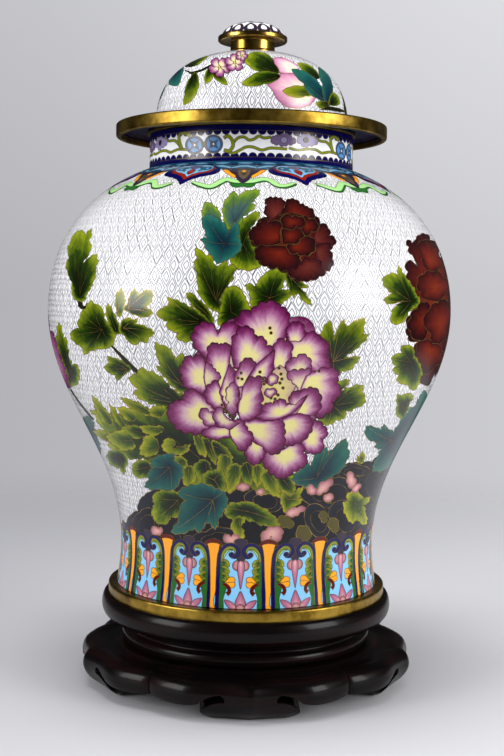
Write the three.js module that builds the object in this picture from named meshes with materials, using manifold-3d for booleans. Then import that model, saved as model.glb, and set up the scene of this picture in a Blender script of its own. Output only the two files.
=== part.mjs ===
// A cloisonne ginger jar with its lid, standing in a turned and carved hardwood stand.
// Millimetres, +Z up, the origin on the jar's axis at table level, the front facing -Y.
// Every piece is built round the Z axis, from the stand's feet upwards.
import * as THREE from "three";
import { mergeVertices } from "three/addons/utils/BufferGeometryUtils.js";
import Module from "manifold-3d";

const wasm = await Module();
wasm.setup();

// Fits
const SEAT_GAP = 0.3; // between two pieces that rest on each other
const RECESS_GAP = 0.5; // round the foot ring, in the stand's recess
const COLLAR_GAP = 1.2; // round the lid's collar, in the neck
const GLUE_GAP = 0.3; // between two neighbouring segments of the stand, at their inner face

// Facets
const ROUND_STEPS = 40;
const SMALL_STEPS = 20;

// Stand: five glued segments, each a leg with its share of the apron
const LEGS = 5;
const STAND_TURN = 2; // degrees, towards the right
const APRON_HEIGHT = 24;
const APRON_STEP = 4; // how far its inner face stands back from the turned ring's bore
const APRON_LEDGE = 2.4; // of its flat top, past the turned ring's bead
const APRON_REACH = 9.9; // past the turned ring, at a glued seam
const APRON_SHOULDER = 5.5; // height of the rounded top edge
const RIDGE_RISE = 3.2; // of the pointed ridge down the middle of a leg
const RIDGE_WIDTH = 7; // degrees
const BULGE_RISE = 2.2; // of the two lobes beside a leg
const BULGE_WIDTH = 9; // degrees
const BULGE_PLACE = 20; // degrees from the middle of the leg
const FOOT_INSET = 11.4; // of a foot's front, behind the apron
const FOOT_DEPTH = 12;
const FOOT_HALF_WIDTH = 14;
const LEG_HALF_WIDTH = 15; // at the neck between the two scrolled cuts
const TOE_REACH = 28.5; // half width across the toes
const TOE_LOW = 4.5;
const TOE_HIGH = 11.2;
const CUT_HIGH = 16.5; // top of the scrolled cut over each toe
const CUT_REACH = 24;
const LOBE_LOW = 9; // lowest edge of the apron
const SEAM_LOW = 11; // its edge at a seam
const CUT_LIP = 6; // from the cut out to the lobe's lower edge
const CUT_ROUND = 2; // radius of the cut's closed end
const TOE_CURL = 1;
const FOOT_TRIM = 1; // how far the outline passes below the foot, which stays flat
const ANKLE_TUCK = 1; // of the leg's face, between its foot and the apron
const APRON_TUCK = 2; // of the apron's lower edge
const APRON_ROUND = 0.4;
const LEG_STATIONS = 12; // facets from seam to seam

// Stand: the turned ring on the apron
const BEAD_PROUD = 3.6;
const BEAD_HEIGHT = 8.5;
const COVE_DEPTH = 16.5; // behind the torus
const TORUS_BULGE = 2.1; // outside its flat top edge
const TORUS_HEIGHT = 16;
const TORUS_LIP = 1.4; // width of the flat top edge round the recess
const RING_HEIGHT = 29.5;
const RING_WALL = 9; // from the cove to the bore
const RECESS_DEPTH = 2.5;
const BEAD_EDGE = 2.5; // of the bead's rounded edges
const FILLET = 1.5; // of the two small steps under the torus
const TORUS_EDGE = 1.2;

// Jar: one wall of copper with enamel on both faces
const WALL = 2.2;
const FOOT_RING_PROUD = 5.2; // of the jar's foot
const FOOT_RING_HEIGHT = 8.7;
const FOOT_RING_EDGE = 0.9;
const JAR_FOOT_RADIUS = 82.3;
const FLARE_HEIGHT = 23.7; // from the jar's foot up to its waist
const WAIST_RADIUS = 80;
const BELLY_RISE = 148; // from the waist up to the widest line
const BELLY_RADIUS = 127.6;
const WAIST_SWEEP = 58.6; // how far the curve runs straight up from the waist
const BELLY_SWEEP = 54.9;
const SHOULDER_SWEEP = 45.7;
const SHOULDER_RISE = 88.3; // from the widest line up to the neck
const NECK_RADIUS = 65;
const NECK_HEIGHT = 21.5;
const NECK_SWEEP = [36, 12.8]; // how far the shoulder runs out and down from the neck
const BASE_RECESS = 7.5; // of the base, up inside the foot
const MOUTH_RIM_HEIGHT = 1.7;
const MOUTH_RIM_PROUD = 1.3;

// Lid
const BRIM_THICKNESS = 2.6;
const BRIM_DROP = 1.8; // of the brim below the band's top edge
const BAND_RADIUS = 86.4;
const BAND_HEIGHT = 8.3;
const BAND_WIDTH = 2.4;
const BAND_LIP = 1.1; // how far the band's lower edge turns in under the brim
const BAND_EDGE = 1.6;
const DOME_RADIUS = 61.5;
const DOME_HEIGHT = 49;
const DOME_POWER = 2.5; // 2 is an ellipse, more is fuller in the shoulder
const COLLAR_DEPTH = 9;

// Finial
const STEM_RADIUS = 14.2;
const STEM_HEIGHT = 7.2; // from the dome's top to the underside of the dish
const DISH_RADIUS = 22.2;
const DISH_EDGE = 3.6;
const DISH_HOLLOW = 1.6;
const DISH_LIP = 1.8;
const CAP_GAP = 0.35;
const CAP_HEIGHT = 10.5;
const CAP_EDGE = 1; // upright edge below the cap's curve
const CAP_ARCS = 5;
const STEM_FLARE = 0.8; // of the stem's foot on the dome
const STEM_STEP = 1.4; // height of that foot
const DISH_ROUND = 1.4; // of the dish's edge

// Radii that follow from the sizes above, from the jar's foot outwards
const FOOT_RING_RADIUS = JAR_FOOT_RADIUS + FOOT_RING_PROUD;
const RECESS_RADIUS = FOOT_RING_RADIUS + RECESS_GAP;
const TORUS_RADIUS = RECESS_RADIUS + TORUS_LIP + TORUS_BULGE;
const COVE_RADIUS = TORUS_RADIUS - COVE_DEPTH;
const BEAD_RADIUS = COVE_RADIUS + BEAD_PROUD;
const RING_BORE = COVE_RADIUS - RING_WALL;
const APRON_INNER = RING_BORE + APRON_STEP;
const APRON_SEAT = BEAD_RADIUS + APRON_LEDGE;
const APRON_RADIUS = TORUS_RADIUS + APRON_REACH;
const FOOT_RADIUS = APRON_RADIUS - FOOT_INSET;

// Levels that follow from them
const RING_BASE = APRON_HEIGHT + SEAT_GAP;
const RING_TOP = RING_BASE + RING_HEIGHT;
const FOOT_RING_BASE = RING_TOP - RECESS_DEPTH + SEAT_GAP;
const JAR_FOOT = FOOT_RING_BASE + FOOT_RING_HEIGHT + SEAT_GAP;
const WAIST = JAR_FOOT + FLARE_HEIGHT;
const BELLY = WAIST + BELLY_RISE;
const NECK_BASE = BELLY + SHOULDER_RISE;
const NECK_TOP = NECK_BASE + NECK_HEIGHT;
const MOUTH_RIM_BASE = NECK_TOP + SEAT_GAP;
const BRIM_BASE = MOUTH_RIM_BASE + MOUTH_RIM_HEIGHT + SEAT_GAP;
const BRIM_TOP = BRIM_BASE + BRIM_THICKNESS;
const DOME_TOP = BRIM_TOP + DOME_HEIGHT;

const radians = THREE.MathUtils.degToRad;
const point = (r, z) => new THREE.Vector2(r, z);

const FINISH = {
  enamel: { color: 0xe9ebee, roughness: 0.16, metalness: 0 },
  brass: { color: 0xb8923f, roughness: 0.32, metalness: 1 },
  wood: { color: 0x1c0d0a, roughness: 0.22, metalness: 0 },
};

function mesh(name, geometry, finish) {
  const piece = new THREE.Mesh(geometry, new THREE.MeshStandardMaterial(FINISH[finish]));
  piece.name = name;
  return piece;
}

// A closed body with shared corners and no faces that have shrunk to nothing.
function closed(geometry) {
  const bare = geometry.clone();
  bare.deleteAttribute("normal");
  bare.deleteAttribute("uv");
  const merged = mergeVertices(bare, 1e-4);
  const index = [];
  for (let i = 0; i < merged.index.count; i += 3) {
    const corners = [0, 1, 2].map((k) => merged.index.getX(i + k));
    if (new Set(corners).size === 3) index.push(...corners);
  }
  merged.setIndex(index);
  return merged;
}

// A profile of radius and height, turned round the Z axis. It runs anticlockwise:
// outwards along its underside, up its outer face and back in along its top.
function turned(profile, steps = ROUND_STEPS) {
  return closed(new THREE.LatheGeometry(profile, steps).rotateX(Math.PI / 2));
}

function turnedRing(profile, steps = ROUND_STEPS) {
  return turned([...profile, profile[0].clone()], steps);
}

function solid(geometry) {
  const shared = closed(geometry);
  return new wasm.Manifold(
    new wasm.Mesh({
      numProp: 3,
      vertProperties: new Float32Array(shared.attributes.position.array),
      triVerts: new Uint32Array(shared.index.array),
    }),
  );
}

function fromSolid(body) {
  const { vertProperties, triVerts } = body.getMesh();
  const geometry = new THREE.BufferGeometry();
  geometry.setAttribute("position", new THREE.BufferAttribute(new Float32Array(vertProperties), 3));
  geometry.setIndex(new THREE.BufferAttribute(new Uint32Array(triVerts), 1));
  return geometry;
}

// A curve of radius and height between two points, each left along its own arm.
function sweep(from, fromArm, toArm, to, pieces) {
  return new THREE.CubicBezierCurve(from, from.clone().add(fromArm), to.clone().add(toArm), to).getPoints(pieces);
}

// The points of an outline, moved inwards by the wall, square to the outline.
function inset(points, wall) {
  return points.map((p, i) => {
    const before = points[Math.max(i - 1, 0)];
    const after = points[Math.min(i + 1, points.length - 1)];
    const along = after.clone().sub(before).normalize();
    return point(p.x - along.y * wall, p.y + along.x * wall);
  });
}

// How far the apron stands out from its seams, at an angle from the middle of its leg.
function apronRise(degrees) {
  const away = Math.abs(degrees);
  const ridge = RIDGE_RISE * Math.exp(-away / RIDGE_WIDTH);
  const bulge = BULGE_RISE * Math.exp(-(((away - BULGE_PLACE) / BULGE_WIDTH) ** 2));
  return ridge + bulge;
}

// The section of the apron and leg at one angle, as radius and height.
function apronSection(degrees) {
  const rise = apronRise(degrees);
  const outer = APRON_RADIUS + rise;
  const shoulder = APRON_HEIGHT - APRON_SHOULDER;
  return [
    point(FOOT_RADIUS - FOOT_DEPTH, 0),
    point(FOOT_RADIUS + rise / 2, 0),
    point((FOOT_RADIUS + 2 * outer) / 3 - ANKLE_TUCK, LOBE_LOW / 2),
    point(outer - APRON_TUCK, LOBE_LOW),
    point(outer, (LOBE_LOW + shoulder) / 2),
    point(outer - APRON_ROUND, shoulder),
    point(outer - APRON_SHOULDER / 2, APRON_HEIGHT - APRON_SHOULDER / 3),
    point(outer - 2 * APRON_SHOULDER, APRON_HEIGHT - APRON_SHOULDER / 9),
    point(APRON_SEAT, APRON_HEIGHT),
    point(APRON_INNER, APRON_HEIGHT),
    point(APRON_INNER, APRON_HEIGHT / 2),
  ];
}

// One uncut segment of the stand, from seam to seam, in front of the axis.
function segmentBlank() {
  const halfAngle = 180 / LEGS;
  const gapAngle = THREE.MathUtils.radToDeg(GLUE_GAP / 2 / APRON_INNER);
  const position = [];
  const index = [];
  let count = 0;
  for (let i = 0; i <= LEG_STATIONS; i++) {
    const degrees = (halfAngle - gapAngle) * ((2 * i) / LEG_STATIONS - 1);
    const section = apronSection(degrees);
    count = section.length;
    const [s, c] = [Math.sin(radians(degrees)), Math.cos(radians(degrees))];
    for (const p of section) position.push(p.x * s, -p.x * c, p.y);
  }
  for (let i = 0; i < LEG_STATIONS; i++) {
    for (let j = 0; j < count; j++) {
      const [a, b] = [i * count + j, i * count + ((j + 1) % count)];
      index.push(a, a + count, b, b, a + count, b + count);
    }
  }
  const last = LEG_STATIONS * count;
  for (const [p, q, r] of THREE.ShapeUtils.triangulateShape(apronSection(halfAngle), [])) {
    index.push(p, q, r, last + p, last + r, last + q);
  }
  const geometry = new THREE.BufferGeometry();
  geometry.setAttribute("position", new THREE.Float32BufferAttribute(position, 3));
  geometry.setIndex(index);
  return geometry;
}

// The front outline of a segment: leg, two toes, two scrolled cuts and the apron's lobes.
// Half of it runs from the seam down to the foot, and the other half is its mirror image.
function segmentOutline() {
  const seam = APRON_RADIUS * Math.sin(radians(180 / LEGS));
  const stops = [
    [seam, SEAM_LOW],
    [CUT_REACH + CUT_LIP, LOBE_LOW + CUT_ROUND],
    [LEG_HALF_WIDTH + CUT_ROUND, CUT_HIGH],
    [LEG_HALF_WIDTH, TOE_HIGH + TOE_CURL],
    [TOE_REACH, TOE_LOW + TOE_CURL],
    [FOOT_HALF_WIDTH, -FOOT_TRIM],
  ];
  const bends = [
    [(seam + CUT_REACH) / 2, 2 * LOBE_LOW - SEAM_LOW],
    [CUT_REACH, CUT_HIGH],
    [LEG_HALF_WIDTH - TOE_CURL, CUT_HIGH - CUT_ROUND],
    [CUT_REACH, TOE_HIGH + TOE_CURL],
    [TOE_REACH - 2 * TOE_CURL, 0],
  ];
  const shape = new THREE.Shape();
  shape.moveTo(APRON_RADIUS, 2 * APRON_HEIGHT);
  shape.lineTo(-APRON_RADIUS, 2 * APRON_HEIGHT);
  shape.lineTo(-APRON_RADIUS, SEAM_LOW);
  shape.lineTo(-seam, SEAM_LOW);
  for (let i = 0; i < bends.length; i++) {
    shape.quadraticCurveTo(-bends[i][0], bends[i][1], -stops[i + 1][0], stops[i + 1][1]);
  }
  shape.lineTo(FOOT_HALF_WIDTH, -FOOT_TRIM);
  for (let i = bends.length - 1; i >= 0; i--) {
    shape.quadraticCurveTo(bends[i][0], bends[i][1], stops[i][0], stops[i][1]);
  }
  shape.lineTo(APRON_RADIUS, SEAM_LOW);
  shape.closePath();
  return shape;
}

// A segment is its turned blank, sawn to the outline from the front.
function standLegs() {
  const sawn = new THREE.ExtrudeGeometry(segmentOutline(), {
    depth: 2 * APRON_RADIUS,
    bevelEnabled: false,
    curveSegments: 3,
  });
  sawn.rotateX(Math.PI / 2);
  const leg = fromSolid(solid(segmentBlank()).intersect(solid(sawn)));
  const pieces = [];
  for (let i = 0; i < LEGS; i++) {
    const piece = mesh(`stand_leg_${i + 1}`, leg, "wood");
    piece.rotation.z = radians(STAND_TURN + (i * 360) / LEGS);
    pieces.push(piece);
  }
  return pieces;
}

function standRing() {
  const [base, top] = [RING_BASE, RING_TOP];
  const bead = base + BEAD_HEIGHT;
  const torusBase = top - TORUS_HEIGHT;
  const half = TORUS_HEIGHT / 2;
  return mesh("stand_ring", turnedRing([
    point(RING_BORE, base),
    point(BEAD_RADIUS - BEAD_EDGE, base),
    point(BEAD_RADIUS, base + BEAD_EDGE),
    point(BEAD_RADIUS, bead - BEAD_EDGE),
    point(COVE_RADIUS, bead),
    point((2 * COVE_RADIUS + TORUS_RADIUS) / 3, torusBase),
    point((COVE_RADIUS + 2 * TORUS_RADIUS) / 3, torusBase + FILLET),
    point(TORUS_RADIUS - TORUS_EDGE, torusBase + half / 2),
    point(TORUS_RADIUS, torusBase + half),
    point(TORUS_RADIUS - TORUS_EDGE / 2, top - half / 3),
    point(RECESS_RADIUS + TORUS_LIP, top),
    point(RECESS_RADIUS, top),
    point(RECESS_RADIUS, top - RECESS_DEPTH),
    point(RING_BORE, top - RECESS_DEPTH),
  ]), "wood");
}

function jarFootRing() {
  const [base, top] = [FOOT_RING_BASE, FOOT_RING_BASE + FOOT_RING_HEIGHT];
  const inner = JAR_FOOT_RADIUS - WALL;
  return mesh("jar_foot_ring", turnedRing([
    point(inner, base),
    point(FOOT_RING_RADIUS - FOOT_RING_EDGE, base),
    point(FOOT_RING_RADIUS, base + FOOT_RING_EDGE),
    point(FOOT_RING_RADIUS, top - FOOT_RING_EDGE),
    point(FOOT_RING_RADIUS - FOOT_RING_EDGE, top),
    point(inner, top),
  ]), "brass");
}

// The jar's outer face, from the bottom edge of its foot to the top of its neck.
function jarOutline(pieces) {
  const foot = point(JAR_FOOT_RADIUS, JAR_FOOT);
  const waist = point(WAIST_RADIUS, WAIST);
  const belly = point(BELLY_RADIUS, BELLY);
  const neck = point(NECK_RADIUS, NECK_BASE);
  const flareArm = point(-(JAR_FOOT_RADIUS - WAIST_RADIUS) / 2, FLARE_HEIGHT / 3);
  const flare = sweep(foot, flareArm, point(0, -FLARE_HEIGHT / 3), waist, pieces.flare);
  const lower = sweep(waist, point(0, WAIST_SWEEP), point(0, -BELLY_SWEEP), belly, pieces.lower);
  const shoulderArm = point(NECK_SWEEP[0], -NECK_SWEEP[1]);
  const upper = sweep(belly, point(0, SHOULDER_SWEEP), shoulderArm, neck, pieces.upper);
  return [...flare, ...lower.slice(1), ...upper.slice(1), point(NECK_RADIUS, NECK_TOP)];
}

function jarBody() {
  const outer = jarOutline({ flare: 2, lower: 9, upper: 10 });
  const base = JAR_FOOT + BASE_RECESS;
  const inner = inset(jarOutline({ flare: 2, lower: 5, upper: 5 }), WALL)
    .filter((p) => p.y > base + 2 * WALL)
    .reverse();
  inner[0] = point(NECK_RADIUS - WALL, NECK_TOP);
  const footInner = JAR_FOOT_RADIUS - WALL;
  return mesh("jar_body", turned([
    point(0, base),
    point(WAIST_RADIUS - 2 * WALL, base),
    point(footInner, JAR_FOOT),
    ...outer,
    ...inner,
    point(WAIST_RADIUS - 2 * WALL, base + WALL),
    point(0, base + WALL),
  ]), "enamel");
}

function jarMouthRim() {
  const [base, top] = [MOUTH_RIM_BASE, MOUTH_RIM_BASE + MOUTH_RIM_HEIGHT];
  const outer = NECK_RADIUS + MOUTH_RIM_PROUD;
  return mesh("jar_mouth_rim", turnedRing([
    point(NECK_RADIUS - WALL, base),
    point(outer, base),
    point(outer, top),
    point(NECK_RADIUS - WALL, top),
  ]), "brass");
}

// The dome's radius profile, from its springing on the brim up to the axis.
function domeOutline(radius, height, pieces) {
  const points = [];
  for (let i = 0; i <= pieces; i++) {
    const turn = (i / pieces) * (Math.PI / 2);
    const r = radius * Math.cos(turn) ** (2 / DOME_POWER);
    const z = BRIM_TOP + height * Math.sin(turn) ** (2 / DOME_POWER);
    points.push(point(i === pieces ? 0 : r, z));
  }
  return points;
}

// The dome's height at a radius.
function domeHeightAt(r) {
  return BRIM_TOP + DOME_HEIGHT * (1 - (r / DOME_RADIUS) ** DOME_POWER) ** (1 / DOME_POWER);
}

function lidDome() {
  const outer = domeOutline(DOME_RADIUS, DOME_HEIGHT, 9);
  const inner = domeOutline(DOME_RADIUS - WALL, DOME_HEIGHT - WALL, 6).reverse();
  const collar = NECK_RADIUS - WALL - COLLAR_GAP;
  const edge = BAND_RADIUS - BAND_WIDTH - SEAT_GAP;
  return mesh("lid_dome", turned([
    ...inner,
    point(collar - WALL, BRIM_BASE - COLLAR_DEPTH),
    point(collar, BRIM_BASE - COLLAR_DEPTH),
    point(collar, BRIM_BASE),
    point(edge, BRIM_BASE),
    point(edge, BRIM_TOP),
    ...outer,
  ]), "enamel");
}

function lidRim() {
  const top = BRIM_TOP + BRIM_DROP;
  const base = top - BAND_HEIGHT;
  const inner = BAND_RADIUS - BAND_WIDTH;
  const lip = inner - BAND_LIP;
  return mesh("lid_rim", turnedRing([
    point(lip, base),
    point(BAND_RADIUS - BAND_EDGE, base),
    point(BAND_RADIUS, base + BAND_EDGE),
    point(BAND_RADIUS, top - BAND_EDGE),
    point(BAND_RADIUS - BAND_EDGE, top),
    point(inner, top),
    point(inner, BRIM_BASE - SEAT_GAP),
    point(lip, BRIM_BASE - SEAT_GAP),
  ]), "brass");
}

function finialMount() {
  const dish = DOME_TOP + STEM_HEIGHT;
  const top = dish + DISH_EDGE;
  const foot = STEM_RADIUS + STEM_FLARE;
  return mesh("finial_mount", turned([
    point(0, DOME_TOP + SEAT_GAP),
    point(foot / 2, domeHeightAt(foot / 2) + SEAT_GAP),
    point(foot, domeHeightAt(foot) + SEAT_GAP),
    point(STEM_RADIUS, DOME_TOP + STEM_STEP),
    point(STEM_RADIUS, dish),
    point(DISH_RADIUS - DISH_ROUND, dish),
    point(DISH_RADIUS, dish + DISH_ROUND),
    point(DISH_RADIUS, top - DISH_ROUND),
    point(DISH_RADIUS - DISH_LIP, top),
    point(DISH_RADIUS - DISH_LIP, top - DISH_HOLLOW),
    point(0, top - DISH_HOLLOW),
  ], SMALL_STEPS), "brass");
}

function finialCap() {
  const base = DOME_TOP + STEM_HEIGHT + DISH_EDGE - DISH_HOLLOW + SEAT_GAP;
  const radius = DISH_RADIUS - DISH_LIP - CAP_GAP;
  const profile = [point(0, base), point(radius, base)];
  for (let i = 0; i <= CAP_ARCS; i++) {
    const turn = (i / CAP_ARCS) * (Math.PI / 2);
    const rise = (CAP_HEIGHT - CAP_EDGE) * Math.sin(turn);
    profile.push(point(radius * Math.cos(turn), base + CAP_EDGE + rise));
  }
  profile[profile.length - 1].x = 0;
  return mesh("finial_cap", turned(profile, SMALL_STEPS), "enamel");
}

const jar = new THREE.Group();
jar.add(...standLegs(), standRing(), jarFootRing(), jarBody(), jarMouthRim());
jar.add(lidDome(), lidRim(), finialMount(), finialCap());

export default jar;
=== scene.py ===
# The looks of the cloisonne ginger jar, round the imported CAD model.
# Lengths are millimetres until they go into a mesh, and the jar's axis is the Z axis.
import math

import bmesh
import bpy
import numpy as np
from mathutils import Matrix, Vector, bvhtree, geometry


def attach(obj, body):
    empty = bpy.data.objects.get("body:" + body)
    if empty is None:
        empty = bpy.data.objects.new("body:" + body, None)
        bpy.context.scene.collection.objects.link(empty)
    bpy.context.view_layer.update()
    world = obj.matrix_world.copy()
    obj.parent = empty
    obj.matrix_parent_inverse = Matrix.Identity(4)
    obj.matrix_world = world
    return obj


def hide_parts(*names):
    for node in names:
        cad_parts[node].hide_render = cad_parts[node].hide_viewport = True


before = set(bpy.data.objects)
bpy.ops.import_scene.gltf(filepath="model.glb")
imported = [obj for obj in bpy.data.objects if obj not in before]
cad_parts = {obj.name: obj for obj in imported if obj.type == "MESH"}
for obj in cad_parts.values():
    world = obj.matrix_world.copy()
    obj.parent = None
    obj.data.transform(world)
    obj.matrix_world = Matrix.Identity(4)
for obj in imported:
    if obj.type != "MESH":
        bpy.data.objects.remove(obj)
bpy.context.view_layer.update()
rng = np.random.default_rng(7)

ROUND = 168  # steps round the turned pieces
SKIN = 0.05  # how far the enamel lies under the outline, which the wires reach
SLOTS = 72  # directions in which a field's shade measures the way to its outline
WRAP = (-120, 240)  # the azimuths in degrees at which each drawing starts and ends
WALL = 2.2  # the wall's thickness
SHOULDER_HEIGHT = 320.6  # where the jar's neck starts
scene = bpy.context.scene


# The viewpoint of the photograph: level camera, view shifted down, slight roll

LENS_MM, SENSOR_MM = 59.95, 36
EYE = np.array([0.0, -807.5, 242.3])
FRAME_SIZE = (504, 756)
HORIZON = (249.55, 293.6)  # where the line of sight that is level and square to the picture meets it
ROLL = math.asin(0.0125)
FOCAL = LENS_MM / SENSOR_MM * FRAME_SIZE[1]
RIGHT = np.array([math.cos(ROLL), 0, math.sin(ROLL)])
UP = np.array([-math.sin(ROLL), 0, math.cos(ROLL)])


# Surfaces of revolution that carry the drawings

def bezier(start, start_arm, end_arm, end, steps):
    """Points of a curve whose arms are given from its two ends."""
    start, end = np.array(start, float), np.array(end, float)
    t = np.linspace(0, 1, steps + 1)[:, None]
    a, b = start + start_arm, end + end_arm
    return (1 - t) ** 3 * start + 3 * t * (1 - t) ** 2 * a + 3 * t * t * (1 - t) * b + t ** 3 * end


def straight(start, end, steps):
    """Points of a straight line, both ends with it."""
    return np.linspace(start, end, steps + 1)


def superellipse(radius, height, base, power, steps):
    """A dome's outline from its foot to its top, squarer the higher the power."""
    turn = np.linspace(0, math.pi / 2, steps + 1)
    r = radius * np.clip(np.cos(turn), 0, 1) ** (2 / power)
    return np.stack([r, base + height * np.sin(turn) ** (2 / power)], 1)


class Surface:
    """An outline of radius and height turned round the axis. A drawing on it has x = azimuth times
    the reference radius and y = length along the outline, both in millimetres."""

    def __init__(self, outline, reference):
        self.r, self.z = np.array(outline, float).T
        step = np.hypot(np.diff(self.r), np.diff(self.z))
        self.v = np.concatenate([[0], np.cumsum(step)])
        dr, dz = np.gradient(self.r, self.v), np.gradient(self.z, self.v)
        size = np.hypot(dr, dz)
        self.out, self.lift = dz / size, -dr / size
        self.reference = reference

    def radius(self, y):
        return np.interp(y, self.v, self.r)

    def y_at(self, height):
        return float(np.interp(height, self.z, self.v))

    def place(self, xy, proud=0.0):
        """Positions in metres and outward directions for points of the drawing."""
        angle, y = xy[:, 0] / self.reference, xy[:, 1]
        out, lift = np.interp(y, self.v, self.out), np.interp(y, self.v, self.lift)
        r = self.radius(y) + (proud - SKIN) * out
        z = np.interp(y, self.v, self.z) + (proud - SKIN) * lift
        s, c = np.sin(angle), np.cos(angle)
        return np.stack([r * s, -r * c, z], 1) / 1000, np.stack([out * s, -out * c, lift], 1)

    def seen(self, picture):
        """Points of the drawing under points of the picture, along the lines of sight. Beside the
        surface, the nearest point of its edge is taken."""
        picture = np.asarray(picture, float)
        a = (picture[:, :1] - HORIZON[0]) / FOCAL
        b = (HORIZON[1] - picture[:, 1:2]) / FOCAL
        ray = np.array([0, 1.0, 0]) + a * RIGHT + b * UP
        reach = np.linspace(650, 900, 501)
        spots = EYE + reach[None, :, None] * ray[:, None, :]
        depth = np.hypot(spots[..., 0], spots[..., 1]) - np.interp(spots[..., 2], self.z, self.r)
        hit = depth < 0
        first = np.where(hit.any(1), hit.argmax(1), depth.argmin(1))
        rows = np.arange(len(first))
        before = np.maximum(first - 1, 0)
        d0, d1 = depth[rows, before], depth[rows, first]
        share = np.where(hit.any(1) & (d0 > d1), d0 / np.maximum(d0 - d1, 1e-9), 0)
        t = reach[before] + share * (reach[first] - reach[before])
        spot = EYE + t[:, None] * ray
        angle = np.arctan2(spot[:, 0], -spot[:, 1])
        return np.stack([angle * self.reference, np.interp(spot[:, 2], self.z, self.v)], 1)


JAR = Surface(np.vstack([
    bezier((82.3, 60.6), (-1.15, 7.9), (0, -7.9), (80, 84.3), 24),
    bezier((80, 84.3), (0, 58.6), (0, -54.9), (127.6, 232.3), 120)[1:],
    bezier((127.6, 232.3), (0, 45.7), (36, -12.8), (65, SHOULDER_HEIGHT), 120)[1:],
    straight((65, SHOULDER_HEIGHT), (65, 342.1), 12)[1:],
]), 127.6)
DOME_RADIUS, DOME_RISE, DOME_BASE, DOME_POWER = 61.5, 49.0, 347, 2.5
DOME = Surface(superellipse(DOME_RADIUS, DOME_RISE, DOME_BASE, DOME_POWER, 160), DOME_RADIUS)


# Lines of a drawing

def bulged(corners, bulge=0.12, pace=1.6):
    """A closed outline through its corners, each edge bowed outwards by a share of its length. A
    corner's third number is the bow of the edge after it."""
    spots = np.array([c[:2] for c in corners], float)
    ahead = np.roll(spots, -1, 0)
    area = np.sum(spots[:, 0] * ahead[:, 1] - ahead[:, 0] * spots[:, 1])
    side = 1 if area > 0 else -1
    line = []
    for p, q, c in zip(spots, ahead, corners):
        bow = c[2] if len(c) > 2 else bulge
        d = q - p
        length = math.hypot(*d)
        steps = max(2, int(length / pace)) if abs(bow) > 0.01 else max(1, int(length / 3))
        middle = (p + q) / 2 + 2 * bow * side * np.array([d[1], -d[0]])
        for t in np.arange(steps) / steps:
            line.append((1 - t) ** 2 * p + 2 * t * (1 - t) * middle + t * t * q)
    return np.array(line)


def smooth(points, closed=True, pace=1.2):
    """A curve through the points."""
    p = np.array([c[:2] for c in points], float)
    n = len(p)
    line = []
    for i in range(n if closed else n - 1):
        if closed:
            a, b, c, d = p[(i - 1) % n], p[i], p[(i + 1) % n], p[(i + 2) % n]
        else:
            a, b, c, d = p[max(i - 1, 0)], p[i], p[i + 1], p[min(i + 2, n - 1)]
        steps = max(2, int(math.hypot(*(c - b)) / pace))
        for t in np.arange(steps) / steps:
            line.append(b + t / 2 * (c - a) + t * t * (a - 2.5 * b + 2 * c - d / 2)
                        + t ** 3 * (-a / 2 + 1.5 * b - 1.5 * c + d / 2))
    if not closed:
        line.append(p[-1])
    return np.array(line)


class Shape:
    """One field of enamel: its outline, its paint, the wire round it, and where its shade starts."""

    def __init__(self, outline, paint, wire, root=None, veins=()):
        self.outline, self.paint, self.wire = outline, paint, wire
        self.root, self.veins = root, list(veins)

    def moved(self, change):
        root = None if self.root is None else change(np.array([self.root], float))[0]
        return Shape(change(self.outline), self.paint, self.wire, root, [change(v) for v in self.veins])

    def shade(self, points):
        """0 at the root to 1 at the outline, along the lines out from the root."""
        if self.root is None:
            return np.full(len(points), 0.5)
        ahead = np.roll(self.outline, -1, 0)
        share = np.linspace(0, 1, 9)[:, None, None]
        dense = (self.outline * (1 - share) + ahead * share).reshape(-1, 2) - self.root
        turn = (np.arctan2(dense[:, 1], dense[:, 0]) + math.pi) / (2 * math.pi)
        slot = np.floor(turn * SLOTS).astype(int) % SLOTS
        far = np.zeros(SLOTS)
        np.maximum.at(far, slot, np.hypot(dense[:, 0], dense[:, 1]))
        known = np.flatnonzero(far)
        middle = (np.arange(SLOTS) + 0.5) / SLOTS * 2 * math.pi - math.pi
        d = points - self.root
        edge = np.interp(np.arctan2(d[:, 1], d[:, 0]), middle[known], far[known], period=2 * math.pi)
        return np.clip(np.hypot(d[:, 0], d[:, 1]) / np.maximum(edge, 1e-6), 0, 1)

    def ray(self, points, number):
        """A direction out from the root for each point, apart for each shape, which the streaks follow."""
        d = points - (points.mean(0) if self.root is None else self.root)
        far = np.hypot(d[:, 0], d[:, 1])
        d = d / np.maximum(far, 0.3)[:, None]
        return np.stack([d[:, 0], d[:, 1], number * 1.7 + 0.02 * far], 1)


def widdershins(outline):
    """The outline, anticlockwise."""
    ahead = np.roll(outline, -1, 0)
    area = np.sum(outline[:, 0] * ahead[:, 1] - ahead[:, 0] * outline[:, 1])
    return outline if area > 0 else outline[::-1].copy()


def inside(points, outline):
    """Which points lie within the outline."""
    ahead = np.roll(outline, -1, 0)
    x, y = points[:, 0:1], points[:, 1:2]
    crosses = (outline[:, 1] > y) != (ahead[:, 1] > y)
    rise = np.where(ahead[:, 1] == outline[:, 1], 1e-9, ahead[:, 1] - outline[:, 1])
    left = x < (ahead[:, 0] - outline[:, 0]) * (y - outline[:, 1]) / rise + outline[:, 0]
    return (crosses & left).sum(1) % 2 == 1


# Meshes

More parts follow.
